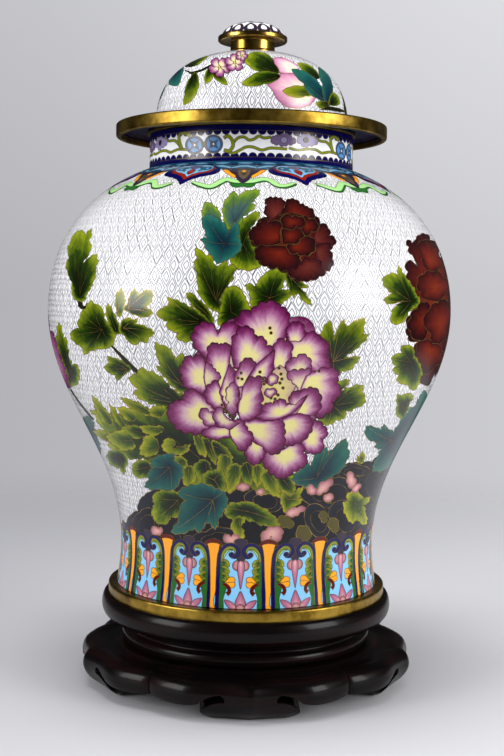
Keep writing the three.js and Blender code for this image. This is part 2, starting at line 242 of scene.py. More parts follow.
def mesh_piece(name, co, tris, materials, normal=None, uv=None, shade=None, choice=None, ray=None):
    """A new piece of the jar from triangles or quads, in metres."""
    mesh = bpy.data.meshes.new(name)
    sides = tris.shape[1]
    mesh.vertices.add(len(co))
    mesh.vertices.foreach_set("co", np.asarray(co, np.float32).ravel())
    mesh.loops.add(sides * len(tris))
    mesh.loops.foreach_set("vertex_index", np.asarray(tris, np.int32).ravel())
    mesh.polygons.add(len(tris))
    mesh.polygons.foreach_set("loop_start", np.arange(0, sides * len(tris), sides, dtype=np.int32))
    for material in materials:
        mesh.materials.append(material)
    if choice is not None:
        mesh.polygons.foreach_set("material_index", np.asarray(choice, np.int32))
    mesh.update(calc_edges=True)
    mesh.polygons.foreach_set("use_smooth", np.ones(len(tris), bool))
    if uv is not None:
        layer = mesh.uv_layers.new(name="OFBake")
        layer.data.foreach_set("uv", np.asarray(uv[np.asarray(tris).ravel()], np.float32).ravel())
    if shade is not None:
        layer = mesh.attributes.new("shade", "FLOAT", "CORNER")
        layer.data.foreach_set("value", np.asarray(shade, np.float32).ravel())
    if ray is not None:
        layer = mesh.attributes.new("ray", "FLOAT_VECTOR", "CORNER")
        layer.data.foreach_set("vector", np.asarray(ray, np.float32).ravel())
    if normal is not None:
        mesh.normals_split_custom_set_from_vertices(normal.tolist())
    piece = bpy.data.objects.new(name, mesh)
    scene.collection.objects.link(piece)
    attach(piece, "root")
    return piece


def turned(name, outline, material, steps=ROUND, closed=True):
    """A smooth turned piece from its outline of radius and height, anticlockwise. Corners sharper
    than 35 degrees stay sharp."""
    outline = np.asarray(outline, float)
    if closed and np.allclose(outline[0], outline[-1]):
        outline = outline[:-1]
    count = len(outline)
    angle = np.linspace(0, 2 * math.pi, steps, endpoint=False)
    co = np.stack([
        np.outer(np.sin(angle), outline[:, 0]),
        -np.outer(np.cos(angle), outline[:, 0]),
        np.outer(np.ones(steps), outline[:, 1]),
    ], 2).reshape(-1, 3) / 1000
    i, j = np.meshgrid(np.arange(steps), np.arange(count if closed else count - 1), indexing="ij")
    after_i, after_j = (i + 1) % steps, (j + 1) % count
    quads = np.stack([i * count + j, after_i * count + j, after_i * count + after_j, i * count + after_j], 2)
    piece = mesh_piece(name, co, quads.reshape(-1, 4), [material])
    bm = bmesh.new()
    bm.from_mesh(piece.data)
    bmesh.ops.remove_doubles(bm, verts=bm.verts, dist=1e-6)
    bmesh.ops.recalc_face_normals(bm, faces=bm.faces)
    for edge in bm.edges:
        if len(edge.link_faces) == 2 and edge.calc_face_angle(0) > math.radians(35):
            edge.smooth = False
    bm.to_mesh(piece.data)
    bm.free()
    return piece


def rounded(corners, steps=5):
    """An outline of radius and height with each corner's third number as its rounding radius."""
    line = []
    count = len(corners)
    for i, corner in enumerate(corners):
        p = np.array(corner[:2], float)
        size = corner[2] if len(corner) > 2 else 0
        if not size:
            line.append(p)
            continue
        before = np.array(corners[i - 1][:2], float) - p
        after = np.array(corners[(i + 1) % count][:2], float) - p
        u, w = before / np.hypot(*before), after / np.hypot(*after)
        half = math.acos(max(-1, min(1, float(u @ w)))) / 2
        cut = min(size / math.tan(half), np.hypot(*before) * 0.49, np.hypot(*after) * 0.49)
        a, b = p + u * cut, p + w * cut
        for t in np.linspace(0, 1, steps + 1):
            line.append((1 - t) ** 2 * a + 2 * t * (1 - t) * p + t * t * b)
    return np.array(line)


# The planar map: overlapping outlines become fields that meet edge to edge

class Field:
    """A drawing on a surface, cut into triangles that each know the uppermost shape over them."""

    def __init__(self, surface, ground, shapes, coarse=5.0, fine=1.9):
        self.surface, self.shapes = surface, [ground] + shapes
        (x0, y0), (x1, y1) = ground.outline.min(0), ground.outline.max(0)
        gx, gy = np.meshgrid(np.arange(x0 + coarse, x1 - coarse / 2, coarse),
                             np.arange(y0 + coarse, y1 - coarse / 2, coarse))
        gx[1::2] += coarse / 2
        grid = [np.stack([gx.ravel(), gy.ravel()], 1)]
        fx, fy = np.meshgrid(np.arange(x0 + 1, x1 - 1, fine), np.arange(y0 + 1, y1 - 1, fine))
        fx[1::2] += fine / 2
        dense = np.stack([fx.ravel(), fy.ravel()], 1)
        wanted = np.zeros(len(dense), bool)
        for shape in shapes:
            if shape.root is None:
                continue
            low, high = shape.outline.min(0), shape.outline.max(0)
            near = np.flatnonzero(~wanted & (dense > low).all(1) & (dense < high).all(1))
            if len(near):
                wanted[near] = inside(dense[near], shape.outline)
        grid.append(dense[wanted] + rng.uniform(-0.05, 0.05, (int(wanted.sum()), 2)))
        points, faces, count = [], [], 0
        for shape in self.shapes:
            shape.outline = widdershins(shape.outline)
            points.append(shape.outline)
            faces.append(list(range(count, count + len(shape.outline))))
            count += len(shape.outline)
        loose = np.vstack(grid)
        loose = loose[(loose[:, 0] > x0) & (loose[:, 0] < x1) & (loose[:, 1] > y0) & (loose[:, 1] < y1)]
        points = np.vstack(points + [loose])
        out = geometry.delaunay_2d_cdt([Vector(p) for p in points], [], faces, 1, 1e-4, True)
        self.points = np.array([tuple(p) for p in out[0]])
        keep = [(f, max(o)) for f, o in zip(out[2], out[5]) if len(f) == 3 and o and 0 in o]
        self.tris = np.array([f for f, _ in keep], int)
        self.label = np.array([o for _, o in keep], int)
        flat = [Vector((x, y, 0)) for x, y in self.points]
        self.tree = bvhtree.BVHTree.FromPolygons(flat, self.tris.tolist())

    def shape_at(self, x, y):
        """The number of the uppermost shape at a point, or -1 beside them all."""
        hit = self.tree.ray_cast(Vector((x, y, 1)), Vector((0, 0, -1)))
        return -1 if hit[2] is None else int(self.label[hit[2]])

    def piece(self, name, slot, paints):
        """The fields whose paint is in paints, as one piece with one material for each paint."""
        chosen = [i for i, s in enumerate(self.shapes) if s.paint in paints]
        mask = np.isin(self.label, chosen)
        if not mask.any():
            return None
        tris, label = self.tris[mask], self.label[mask]
        shade, ray = np.zeros(tris.shape), np.zeros(tris.shape + (3,))
        for i in np.unique(label):
            rows = np.flatnonzero(label == i)
            spots = self.points[tris[rows]].reshape(-1, 2)
            shade[rows] = self.shapes[i].shade(spots).reshape(-1, 3)
            ray[rows] = self.shapes[i].ray(spots, i).reshape(-1, 3, 3)
        order = sorted(paints)
        choice = np.array([order.index(self.shapes[i].paint) for i in label])
        used, tris = np.unique(tris, return_inverse=True)
        tris = tris.reshape(-1, 3)
        xy = self.points[used]
        co, normal = self.surface.place(xy)
        low, high = self.points.min(0), self.points.max(0)
        uv = 0.002 + 0.996 * (xy - low) / (high - low)
        return mesh_piece(name, co, tris, [paint(p) for p in order], normal, uv, shade, choice, ray)

    def borders(self):
        """Lines between fields, by the wire of the upper field, as lists of points."""
        seen, found = {}, {}
        for tri, label in zip(self.tris.tolist(), self.label.tolist()):
            for a, b in ((tri[0], tri[1]), (tri[1], tri[2]), (tri[2], tri[0])):
                key = (a, b) if a < b else (b, a)
                if key in seen:
                    if seen[key] != label:
                        wire = self.shapes[max(seen[key], label)].wire
                        if wire:
                            found.setdefault(wire, []).append(key)
                else:
                    seen[key] = label
        return {wire: [self.points[c] for c in chained(edges)] for wire, edges in found.items()}

    def vein_lines(self):
        """Each shape's veins, kept where that shape is uppermost."""
        found = {}
        for i, shape in enumerate(self.shapes):
            for vein in shape.veins:
                run = []
                for p in vein:
                    if self.shape_at(*p) == i:
                        run.append(p)
                        continue
                    if len(run) > 1:
                        found.setdefault("vein_" + shape.wire, []).append(np.array(run))
                    run = []
                if len(run) > 1:
                    found.setdefault("vein_" + shape.wire, []).append(np.array(run))
        return found


def chained(edges):
    """Edges joined end to end into long runs of points."""
    beside = {}
    for a, b in edges:
        beside.setdefault(a, set()).add(b)
        beside.setdefault(b, set()).add(a)
    runs = []
    ends = [p for p in beside if len(beside[p]) != 2] + list(beside)
    for start in ends:
        while beside[start]:
            run = [start]
            while True:
                here = run[-1]
                if not beside[here] or (len(run) > 1 and len(beside[here]) > 1 and here != start):
                    break
                there = beside[here].pop()
                beside[there].discard(here)
                run.append(there)
                if there == start:
                    break
            if len(run) > 1:
                runs.append(run)
    return runs


def wires(name, surface, lines, width, material, proud=SKIN):
    """Flat wires along lines of the drawing, let into the enamel."""
    co, normal, faces, count = [], [], [], 0
    for line in lines:
        line = np.asarray(line, float)
        k = surface.radius(line[:, 1]) / surface.reference
        true = np.stack([line[:, 0] * k, line[:, 1]], 1)
        if np.allclose(line[0], line[-1]) and len(line) > 3:
            ring = np.vstack([true[-2], true, true[1]])
        else:
            ring = np.vstack([2 * true[0] - true[1], true, 2 * true[-1] - true[-2]])
        before, after = ring[1:-1] - ring[:-2], ring[2:] - ring[1:-1]
        before /= np.maximum(np.hypot(*before.T), 1e-9)[:, None]
        after /= np.maximum(np.hypot(*after.T), 1e-9)[:, None]
        along = before + after
        size = np.hypot(*along.T)
        along = np.where(size[:, None] > 0.35, along / np.maximum(size, 1e-9)[:, None], after)
        stretch = np.clip(2 / np.maximum(size, 1.1), 1, 1.8)[:, None]
        side = np.stack([-along[:, 1] / k, along[:, 0]], 1) * width / 2 * stretch
        pair = np.stack([line - side, line + side], 1).reshape(-1, 2)
        p, n = surface.place(pair, proud)
        co.append(p)
        normal.append(n)
        i = count + 2 * np.arange(len(line) - 1)
        faces.append(np.stack([i, i + 2, i + 3, i + 1], 1))
        count += 2 * len(line)
    return mesh_piece(name, np.vstack(co), np.vstack(faces), [material], np.vstack(normal))


# Materials

def srgb(r, g, b):
    """The linear colour for a screen colour of 0 to 255."""
    return tuple((c / 255 / 12.92 if c <= 10 else ((c / 255 + 0.055) / 1.055) ** 2.4)
                 for c in (r, g, b)) + (1,)


def new_material(name):
    """A material with its node tree and its shader."""
    material = bpy.data.materials.new(name)
    material.use_nodes = True
    tree = material.node_tree
    return material, tree, tree.nodes["Principled BSDF"]


def node(tree, kind, **values):
    """A new shader node, with values for its inputs or its own settings."""
    made = tree.nodes.new(kind)
    for key, value in values.items():
        if key in made.inputs:
            made.inputs[key].default_value = value
        else:
            setattr(made, key, value)
    return made


def ramp(tree, stops):
    """A colour ramp from places and colours."""
    made = tree.nodes.new("ShaderNodeValToRGB")
    line = made.color_ramp.elements
    while len(line) < len(stops):
        line.new(0.5)
    for element, (place, color) in zip(line, stops):
        element.position = place
        element.color = srgb(*color)
    return made


# Each paint's colours from the root of a field to its edge
PAINTS = {
    "white": [(0.0, (228, 228, 231)), (1.0, (238, 237, 237))],
    "petal": [(0.0, (224, 220, 152)), (0.34, (222, 212, 158)), (0.52, (206, 176, 182)),
              (0.68, (172, 116, 154)), (0.84, (136, 56, 112)), (1.0, (96, 20, 74))],
    "pale": [(0.0, (224, 220, 150)), (0.44, (212, 194, 174)), (0.7, (172, 116, 154)), (1.0, (116, 38, 92))],
    "stamen": [(0.0, (216, 208, 128)), (0.6, (206, 192, 140)), (1.0, (186, 152, 150))],
    "wine": [(0.0, (118, 40, 18)), (0.4, (92, 26, 16)), (0.75, (60, 16, 16)), (1.0, (36, 10, 16))],
    "rose": [(0.0, (112, 52, 44)), (0.5, (90, 34, 30)), (0.85, (62, 20, 22)), (1.0, (42, 14, 18))],
    "brick": [(0.0, (128, 52, 28)), (0.45, (106, 36, 24)), (0.8, (74, 22, 20)), (1.0, (46, 14, 18))],
    "leaf": [(0.0, (18, 26, 5)), (0.35, (29, 47, 7)), (0.6, (56, 79, 12)), (0.82, (116, 133, 23)),
             (1.0, (156, 163, 40))],
    "fresh": [(0.0, (35, 54, 9)), (0.42, (76, 100, 15)), (0.8, (145, 152, 32)), (1.0, (178, 176, 49))],
    "teal": [(0.0, (12, 36, 54)), (0.3, (14, 58, 68)), (0.7, (28, 88, 86)), (1.0, (50, 112, 98))],
    "blue_leaf": [(0.0, (48, 70, 82)), (0.4, (66, 94, 90)), (0.75, (86, 116, 48)), (1.0, (132, 154, 48))],
    "stem": [(0.0, (24, 30, 20)), (1.0, (38, 50, 24))],
    "rock": [(0.0, (8, 10, 20)), (0.5, (22, 26, 42)), (1.0, (40, 44, 62))],
    "blush": [(0.0, (220, 180, 166)), (0.6, (192, 142, 144)), (1.0, (146, 92, 108))],
    "amber": [(0.0, (104, 96, 40)), (1.0, (70, 66, 30))],
    "peach": [(0.0, (226, 226, 186)), (0.4, (228, 212, 190)), (0.7, (214, 166, 182)),
              (1.0, (170, 98, 140))],
    "cobalt": [(0.0, (14, 12, 82)), (1.0, (20, 18, 98))],
    "sky": [(0.0, (138, 192, 226)), (1.0, (146, 198, 230))],
    "orange": [(0.0, (238, 158, 34)), (1.0, (232, 148, 30))],
    "olive": [(0.0, (146, 152, 48)), (1.0, (128, 140, 40))],
    "lime": [(0.0, (172, 214, 150)), (1.0, (164, 208, 140))],
    "green": [(0.0, (32, 92, 44)), (1.0, (60, 128, 56))],
    "maroon": [(0.0, (112, 26, 12)), (1.0, (96, 20, 12))],
    "mauve": [(0.0, (136, 118, 150)), (1.0, (108, 92, 128))],
    "pink": [(0.0, (222, 184, 172)), (0.5, (190, 132, 152)), (1.0, (160, 96, 128))],
    "turquoise": [(0.0, (46, 122, 148)), (1.0, (32, 100, 132))],
    "coin": [(0.0, (120, 170, 214)), (1.0, (88, 140, 200))],
    "cloud": [(0.0, (168, 158, 190)), (1.0, (138, 126, 168))],
    "dusk": [(0.0, (66, 56, 74)), (1.0, (56, 46, 66))],
    "steel": [(0.0, (84, 114, 142)), (1.0, (70, 98, 128))],
    "red": [(0.0, (170, 50, 20)), (1.0, (140, 36, 18))],
    "ash": [(0.0, (120, 104, 88)), (1.0, (92, 78, 68))],
}
# How rough each paint is, how deep its colours are, and how strong its streaks
ROUGH = {"white": 0.2}
DEPTH = {"white": 1.0, "orange": 1.0, "leaf": 1.35, "fresh": 1.35, "petal": 1.3, "pale": 1.3, "rock": 1.4,
         "peach": 1.1}
STREAKS = {"petal": 0.34, "pale": 0.34, "stamen": 0.4, "wine": 0.5, "rose": 0.5, "brick": 0.5, "leaf": 0.7,
           "fresh": 0.7, "teal": 0.6, "blue_leaf": 0.6, "peach": 0.3, "pink": 0.3}
made_paints = {}
WHITE_SPECULAR, COLOUR_SPECULAR = 0.5, 0.36


def paint(name):
    """A glossy enamel whose colour follows the shade, with the clouding of ground glass."""
    if name in made_paints:
        return made_paints[name]
    material, tree, shader = new_material("enamel_" + name)
    place = node(tree, "ShaderNodeTexCoord")
    cloud = node(tree, "ShaderNodeTexNoise", Scale=150.0, Detail=3.0, Roughness=0.6)
    grain = node(tree, "ShaderNodeTexNoise", Scale=1400.0, Detail=2.0)
    tree.links.new(place.outputs["Object"], cloud.inputs["Vector"])
    tree.links.new(place.outputs["Object"], grain.inputs["Vector"])
    shade = node(tree, "ShaderNodeAttribute", attribute_name="shade")
    lift = node(tree, "ShaderNodeMath", operation="MULTIPLY_ADD")
    lift.inputs[1].default_value = 0.16
    lift.inputs[2].default_value = -0.08
    ray = node(tree, "ShaderNodeAttribute", attribute_name="ray")
    streaks = node(tree, "ShaderNodeTexNoise", Scale=4.5, Detail=4.0, Roughness=0.65)
    stroke_lift = node(tree, "ShaderNodeMath", operation="MULTIPLY_ADD")
    stroke_lift.inputs[1].default_value = STREAKS.get(name, 0.0)
    tree.links.new(ray.outputs["Vector"], streaks.inputs["Vector"])
    tree.links.new(streaks.outputs["Fac"], stroke_lift.inputs[0])
    tree.links.new(lift.outputs[0], stroke_lift.inputs[2])
    total = node(tree, "ShaderNodeMath", operation="ADD", use_clamp=True)
    depth = DEPTH.get(name, 1.22)
    colours = ramp(tree, [(p, tuple(255 * (v / 255) ** depth for v in c)) for p, c in PAINTS[name]])
    tree.links.new(cloud.outputs["Fac"], lift.inputs[0])
    tree.links.new(shade.outputs["Fac"], total.inputs[0])
    away = node(tree, "ShaderNodeMath", operation="SUBTRACT")
    away.inputs[1].default_value = STREAKS.get(name, 0.0) / 2
    tree.links.new(stroke_lift.outputs[0], away.inputs[0])
    tree.links.new(away.outputs[0], total.inputs[1])
    tree.links.new(total.outputs[0], colours.inputs["Fac"])
    tree.links.new(colours.outputs["Color"], shader.inputs["Base Color"])
    bump = node(tree, "ShaderNodeBump", Strength=0.05, Distance=0.00006)
    tree.links.new(grain.outputs["Fac"], bump.inputs["Height"])
    tree.links.new(bump.outputs["Normal"], shader.inputs["Normal"])
    shader.inputs["Roughness"].default_value = ROUGH.get(name, 0.17)
    shader.inputs["Specular IOR Level"].default_value = WHITE_SPECULAR if name == "white" else COLOUR_SPECULAR
    made_paints[name] = material
    return material


def brass(name, light, dark, rough, patina=0.5):
    """Gilt brass: fine turning marks round the axis, and a brown patina in clouds."""
    material, tree, shader = new_material(name)
    place = node(tree, "ShaderNodeTexCoord")
    spread = node(tree, "ShaderNodeMapping")
    spread.inputs["Scale"].default_value = (60, 60, 2600)
    marks = node(tree, "ShaderNodeTexNoise", Scale=1.0, Detail=4.0, Roughness=0.65)
    cloud = node(tree, "ShaderNodeTexNoise", Scale=70.0, Detail=5.0, Roughness=0.62)
    tree.links.new(place.outputs["Object"], spread.inputs["Vector"])
    tree.links.new(spread.outputs["Vector"], marks.inputs["Vector"])
    tree.links.new(place.outputs["Object"], cloud.inputs["Vector"])
    low = 0.5 - 0.3 * patina
    colours = ramp(tree, [(low, dark), (0.72, light)])
    tree.links.new(cloud.outputs["Fac"], colours.inputs["Fac"])
    tree.links.new(colours.outputs["Color"], shader.inputs["Base Color"])
    gloss = node(tree, "ShaderNodeMapRange")
    gloss.inputs["To Min"].default_value = rough - 0.08
    gloss.inputs["To Max"].default_value = rough + 0.14
    tree.links.new(cloud.outputs["Fac"], gloss.inputs["Value"])
    tree.links.new(gloss.outputs["Result"], shader.inputs["Roughness"])
    bump = node(tree, "ShaderNodeBump", Strength=0.25, Distance=0.00008)
    tree.links.new(marks.outputs["Fac"], bump.inputs["Height"])
    tree.links.new(bump.outputs["Normal"], shader.inputs["Normal"])
    shader.inputs["Metallic"].default_value = 1.0
    return material


def wire_metal(name, light, dark, rough):
    """Metal in two tones that change slowly from place to place."""
    material, tree, shader = new_material(name)
    place = node(tree, "ShaderNodeTexCoord")
    cloud = node(tree, "ShaderNodeTexNoise", Scale=220.0, Detail=3.0)
    tree.links.new(place.outputs["Object"], cloud.inputs["Vector"])
    colours = ramp(tree, [(0.35, dark), (0.65, light)])
    tree.links.new(cloud.outputs["Fac"], colours.inputs["Fac"])
    tree.links.new(colours.outputs["Color"], shader.inputs["Base Color"])
    shader.inputs["Metallic"].default_value = 0.85
    shader.inputs["Roughness"].default_value = rough
    return material


def rosewood():
    """Dark varnished rosewood: reddish streaks along the grain under a hard gloss."""
    material, tree, shader = new_material("rosewood")
    place = node(tree, "ShaderNodeTexCoord")
    spread = node(tree, "ShaderNodeMapping")
    spread.inputs["Scale"].default_value = (14, 14, 120)
    warp = node(tree, "ShaderNodeTexNoise", Scale=1.0, Detail=5.0, Roughness=0.62, Distortion=0.8)
    pores = node(tree, "ShaderNodeTexNoise", Scale=6.0, Detail=3.0, Roughness=0.7)
    tree.links.new(place.outputs["Object"], spread.inputs["Vector"])
    tree.links.new(spread.outputs["Vector"], warp.inputs["Vector"])
    tree.links.new(spread.outputs["Vector"], pores.inputs["Vector"])
    colours = ramp(tree, [(0.34, (4, 2, 3)), (0.5, (9, 5, 5)), (0.62, (20, 7, 7)), (0.78, (11, 5, 5))])
    tree.links.new(warp.outputs["Fac"], colours.inputs["Fac"])
    tree.links.new(colours.outputs["Color"], shader.inputs["Base Color"])
    bump = node(tree, "ShaderNodeBump", Strength=0.12, Distance=0.0002)
    tree.links.new(pores.outputs["Fac"], bump.inputs["Height"])
    tree.links.new(bump.outputs["Normal"], shader.inputs["Normal"])
    gloss = node(tree, "ShaderNodeMapRange")
    gloss.inputs["To Min"].default_value = 0.22
    gloss.inputs["To Max"].default_value = 0.4
    shader.inputs["Specular IOR Level"].default_value = 0.08
    tree.links.new(pores.outputs["Fac"], gloss.inputs["Value"])
    tree.links.new(gloss.outputs["Result"], shader.inputs["Roughness"])
    shader.inputs["Coat Weight"].default_value = 0.11
    shader.inputs["Coat Roughness"].default_value = 0.12
    return material


# The flowers, drawn as the photograph's frame shows them and laid on the jar along the sight lines.
# Each field has its paint, the point that its shade starts from, and its corners.

PEONY = [
    ("pale", (272, 352), [(205, 345), (222, 330), (246, 322), (262, 314), (290, 318), (316, 336),
         (326, 352), (318, 384), (316, 416), (292, 436), (268, 420), (236, 410), (202, 392)]),
    ("petal", (266, 343), [(236, 327), (240, 315), (246, 310), (251, 314), (257, 306), (266, 303),
         (276, 303), (281, 307), (287, 311), (288, 320), (286, 329), (281, 340), (272, 351), (262, 349),
         (252, 335), (244, 330)]),
    ("petal", (217, 347), [(205, 359, 0), (197, 350), (193, 342), (194, 332), (199, 325), (208, 323),
         (215, 328, 0), (218, 334, 0), (221, 327), (228, 323), (236, 325), (241, 332), (236, 347, 0),
         (222, 352, 0), (210, 356, 0)]),
    ("petal", (222, 374), [(208, 352), (210, 345), (215, 343), (219, 345), (223, 344), (228, 344),
         (231, 350, 0), (230, 358, 0), (229, 368, 0), (227, 382, 0), (224, 408, 0), (212, 400, 0),
         (204, 376, 0), (206, 362, 0)]),
    ("petal", (203, 379), [(205, 358, 0), (202, 357), (198, 355), (193, 358), (188, 356), (184, 360),
         (183, 365), (180, 368), (182, 375), (183, 382), (187, 388), (193, 391, 0), (200, 394, 0),
         (206, 397, 0), (207, 385, 0), (204, 375, 0), (206, 366, 0)]),
    ("petal", (204, 412), [(206, 397, 0), (196, 391), (188, 390), (184, 394), (184, 400), (180, 401),
         (173, 403), (168, 410), (169, 417), (174, 424), (181, 430), (190, 432), (200, 433), (210, 430),
         (218, 426, 0), (218, 410, 0), (213, 402, 0)]),
    ("petal", (300, 353), [(286, 340), (291, 336), (300, 338), (309, 333), (317, 334), (321, 340),
         (327, 342), (328, 350), (326, 358), (330, 364), (329, 372), (318, 373, 0), (309, 374, 0),
         (304, 366, 0), (296, 362, 0), (290, 369, 0), (286, 374, 0), (283, 356, 0)]),
    ("petal", (294, 346), [(288, 335), (290, 325), (296, 322), (301, 323), (304, 329), (303, 338),
         (296, 341, 0), (288, 341, 0)]),
    ("petal", (308, 382), [(309, 371, 0), (318, 371), (328, 369), (336, 370), (338, 377), (336, 383),
         (340, 389), (337, 398), (331, 402), (333, 408), (326, 413), (316, 418, 0), (308, 402, 0),
         (298, 394, 0), (302, 382, 0)]),
    ("petal", (248, 359), [(232, 340), (234, 335), (238, 335), (237, 330), (243, 327), (250, 328),
         (254, 334), (257, 341), (260, 336), (264, 339), (266, 346), (274, 350, 0), (272, 360, 0),
         (263, 366, 0), (252, 372, 0), (240, 370, 0), (234, 368, 0), (231, 354, 0)]),
    ("petal", (279, 368), [(276, 377, 0), (272, 365), (274, 350), (277, 342), (281, 338), (285, 342),
         (290, 342), (291, 352), (288, 360), (285, 367), (284, 376, 0)]),
    ("stamen", (274, 392), [(258, 381, 0), (266, 377, 0), (274, 370, 0), (280, 365, 0), (286, 369, 0),
         (291, 377, 0), (297, 384, 0), (293, 392, 0), (288, 398), (293, 405, 0), (284, 405, 0),
         (274, 408, 0), (262, 412, 0), (256, 408, 0), (260, 396, 0), (261, 387, 0)]),
    ("pale", (298, 373), [(286, 367), (290, 361), (297, 358), (302, 354), (307, 357), (311, 364),
         (309, 371), (303, 370), (296, 373), (290, 372)]),
    ("pale", (299, 388), [(287, 376), (291, 371), (298, 371), (305, 370), (311, 369), (306, 376, 0),
         (302, 385, 0), (300, 394, 0), (296, 385), (292, 380)]),
    ("pale", (206, 379), [(206, 362, 0), (209, 364), (213, 368), (216, 372), (220, 375), (219, 380),
         (214, 383), (206, 389, 0), (204, 380, 0), (204, 371, 0)]),
    ("petal", (220, 398), [(206, 389), (211, 384), (218, 381, 0), (221, 390, 0), (222, 400, 0),
         (226, 410, 0), (218, 409), (211, 405), (206, 398)]),
    ("petal", (224, 396), [(229, 364), (231, 367), (234, 370), (236, 376), (233, 382), (238, 386, 0),
         (240, 394, 0), (238, 404, 0), (237, 412, 0), (234, 420, 0), (229, 417, 0), (227, 405), (223, 397),
         (221, 388, 0), (224, 378, 0), (227, 371, 0)]),
    ("pale", (227, 393), [(229, 386, 0.2), (233, 382, 0.3), (238, 386, 0.1), (238, 396), (236, 405),
         (234, 414), (230, 414), (229, 402), (227, 394)]),
    ("petal", (241, 387), [(234, 374, 0), (240, 367), (243, 361), (248, 358), (253, 361), (256, 366, 0),
         (252, 372, 0), (248, 379, 0), (245, 386, 0), (239, 388, 0), (234, 383, 0)]),
    ("petal", (257, 377), [(275, 350, 0), (265, 357, 0), (257, 364, 0), (251, 372, 0), (246, 380, 0),
         (255, 380, 0), (264, 379, 0), (271, 380, 0), (273, 370, 0)]),
    ("petal", (240, 408), [(247, 379), (255, 378), (262, 377), (267, 380), (262, 385), (260, 388, 0),
         (263, 396), (260, 403), (262, 411), (256, 417), (248, 420), (240, 420, 0), (238, 412, 0),
         (238, 404, 0), (242, 396, 0), (242, 388, 0)]),
    ("pale", (272, 379), [(268, 381), (272, 374), (276, 375), (278, 380), (274, 384), (269, 385)]),
    ("pale", (270, 392), [(265, 391), (270, 389), (277, 391), (274, 395), (266, 396)]),
    ("petal", (281, 413), [(262, 412), (264, 405), (268, 403), (273, 405), (278, 400), (282, 399),
         (286, 404), (291, 405, 0), (298, 402, 0), (309, 391, 0), (304, 402, 0), (297, 410, 0),
         (290, 415, 0), (281, 419, 0), (272, 421, 0), (262, 420, 0), (255, 417, 0)]),
    ("petal", (297, 413), [(290, 403), (291, 396), (296, 391), (301, 392), (307, 389), (313, 388),
         (319, 393), (320, 402), (318, 411), (312, 415, 0), (305, 416, 0), (296, 415, 0), (302, 405, 0),
         (309, 394, 0), (302, 398, 0), (295, 405, 0)]),
    ("petal", (310, 438), [(310, 418, 0), (319, 421), (323, 426), (327, 431), (326, 437), (320, 438),
         (323, 443), (322, 450), (317, 453), (311, 453), (304, 450, 0), (300, 444, 0), (306, 437, 0),
         (311, 430, 0)]),
    ("petal", (285, 452), [(263, 458), (265, 450, 0), (275, 450, 0), (284, 449, 0), (292, 443, 0),
         (300, 441, 0), (306, 449, 0), (303, 453), (307, 459), (305, 465), (300, 468), (293, 471),
         (288, 476), (281, 478), (274, 475), (268, 469), (264, 464)]),
    ("petal", (286, 424), [(282, 419, 0), (290, 415, 0), (300, 413, 0), (306, 415), (311, 420), (312, 427),
         (308, 434), (303, 440), (296, 443), (289, 445), (284, 445, 0), (282, 436, 0)]),
    ("petal", (257, 442), [(247, 448, 0), (248, 438, 0), (256, 434, 0), (264, 440, 0), (266, 448),
         (264, 455), (261, 460), (256, 464), (250, 463), (247, 457), (245, 451)]),
    ("petal", (252, 427), [(239, 421, 0), (248, 421, 0), (256, 418, 0), (266, 421, 0), (274, 421),
         (281, 421), (284, 428), (283, 436), (284, 444), (281, 450), (275, 454), (268, 452), (263, 447, 0),
         (256, 444, 0), (248, 438, 0), (243, 428, 0)]),
    ("petal", (230, 431), [(229, 419, 0), (236, 420), (241, 420), (245, 425), (247, 431), (253, 436),
         (252, 441), (247, 446), (243, 451), (237, 446, 0), (232, 440, 0), (229, 432, 0)]),
    ("petal", (227, 432), [(201, 434), (208, 429), (216, 427, 0), (223, 426, 0), (230, 427, 0),
         (230, 438, 0), (221, 438), (212, 438), (206, 436)]),
    ("pale", (213, 420), [(200, 411), (204, 408), (209, 412), (216, 416, 0), (215, 426, 0), (208, 426),
         (203, 420)]),
    ("pale", (223, 419), [(215, 411), (219, 407), (223, 413, 0), (228, 418, 0), (234, 422, 0),
         (240, 423, 0), (234, 427), (225, 427), (217, 423)]),
]
PISTILS = [(270, 328), (271, 333), (241, 373), (238, 378), (242, 379), (260, 372), (279, 368), (281, 374),
           (282, 379), (280, 383), (283, 388), (278, 395), (271, 398), (275, 399), (264, 384), (263, 379),
           (222, 405), (224, 409), (227, 412), (230, 415), (233, 417), (319, 371)]

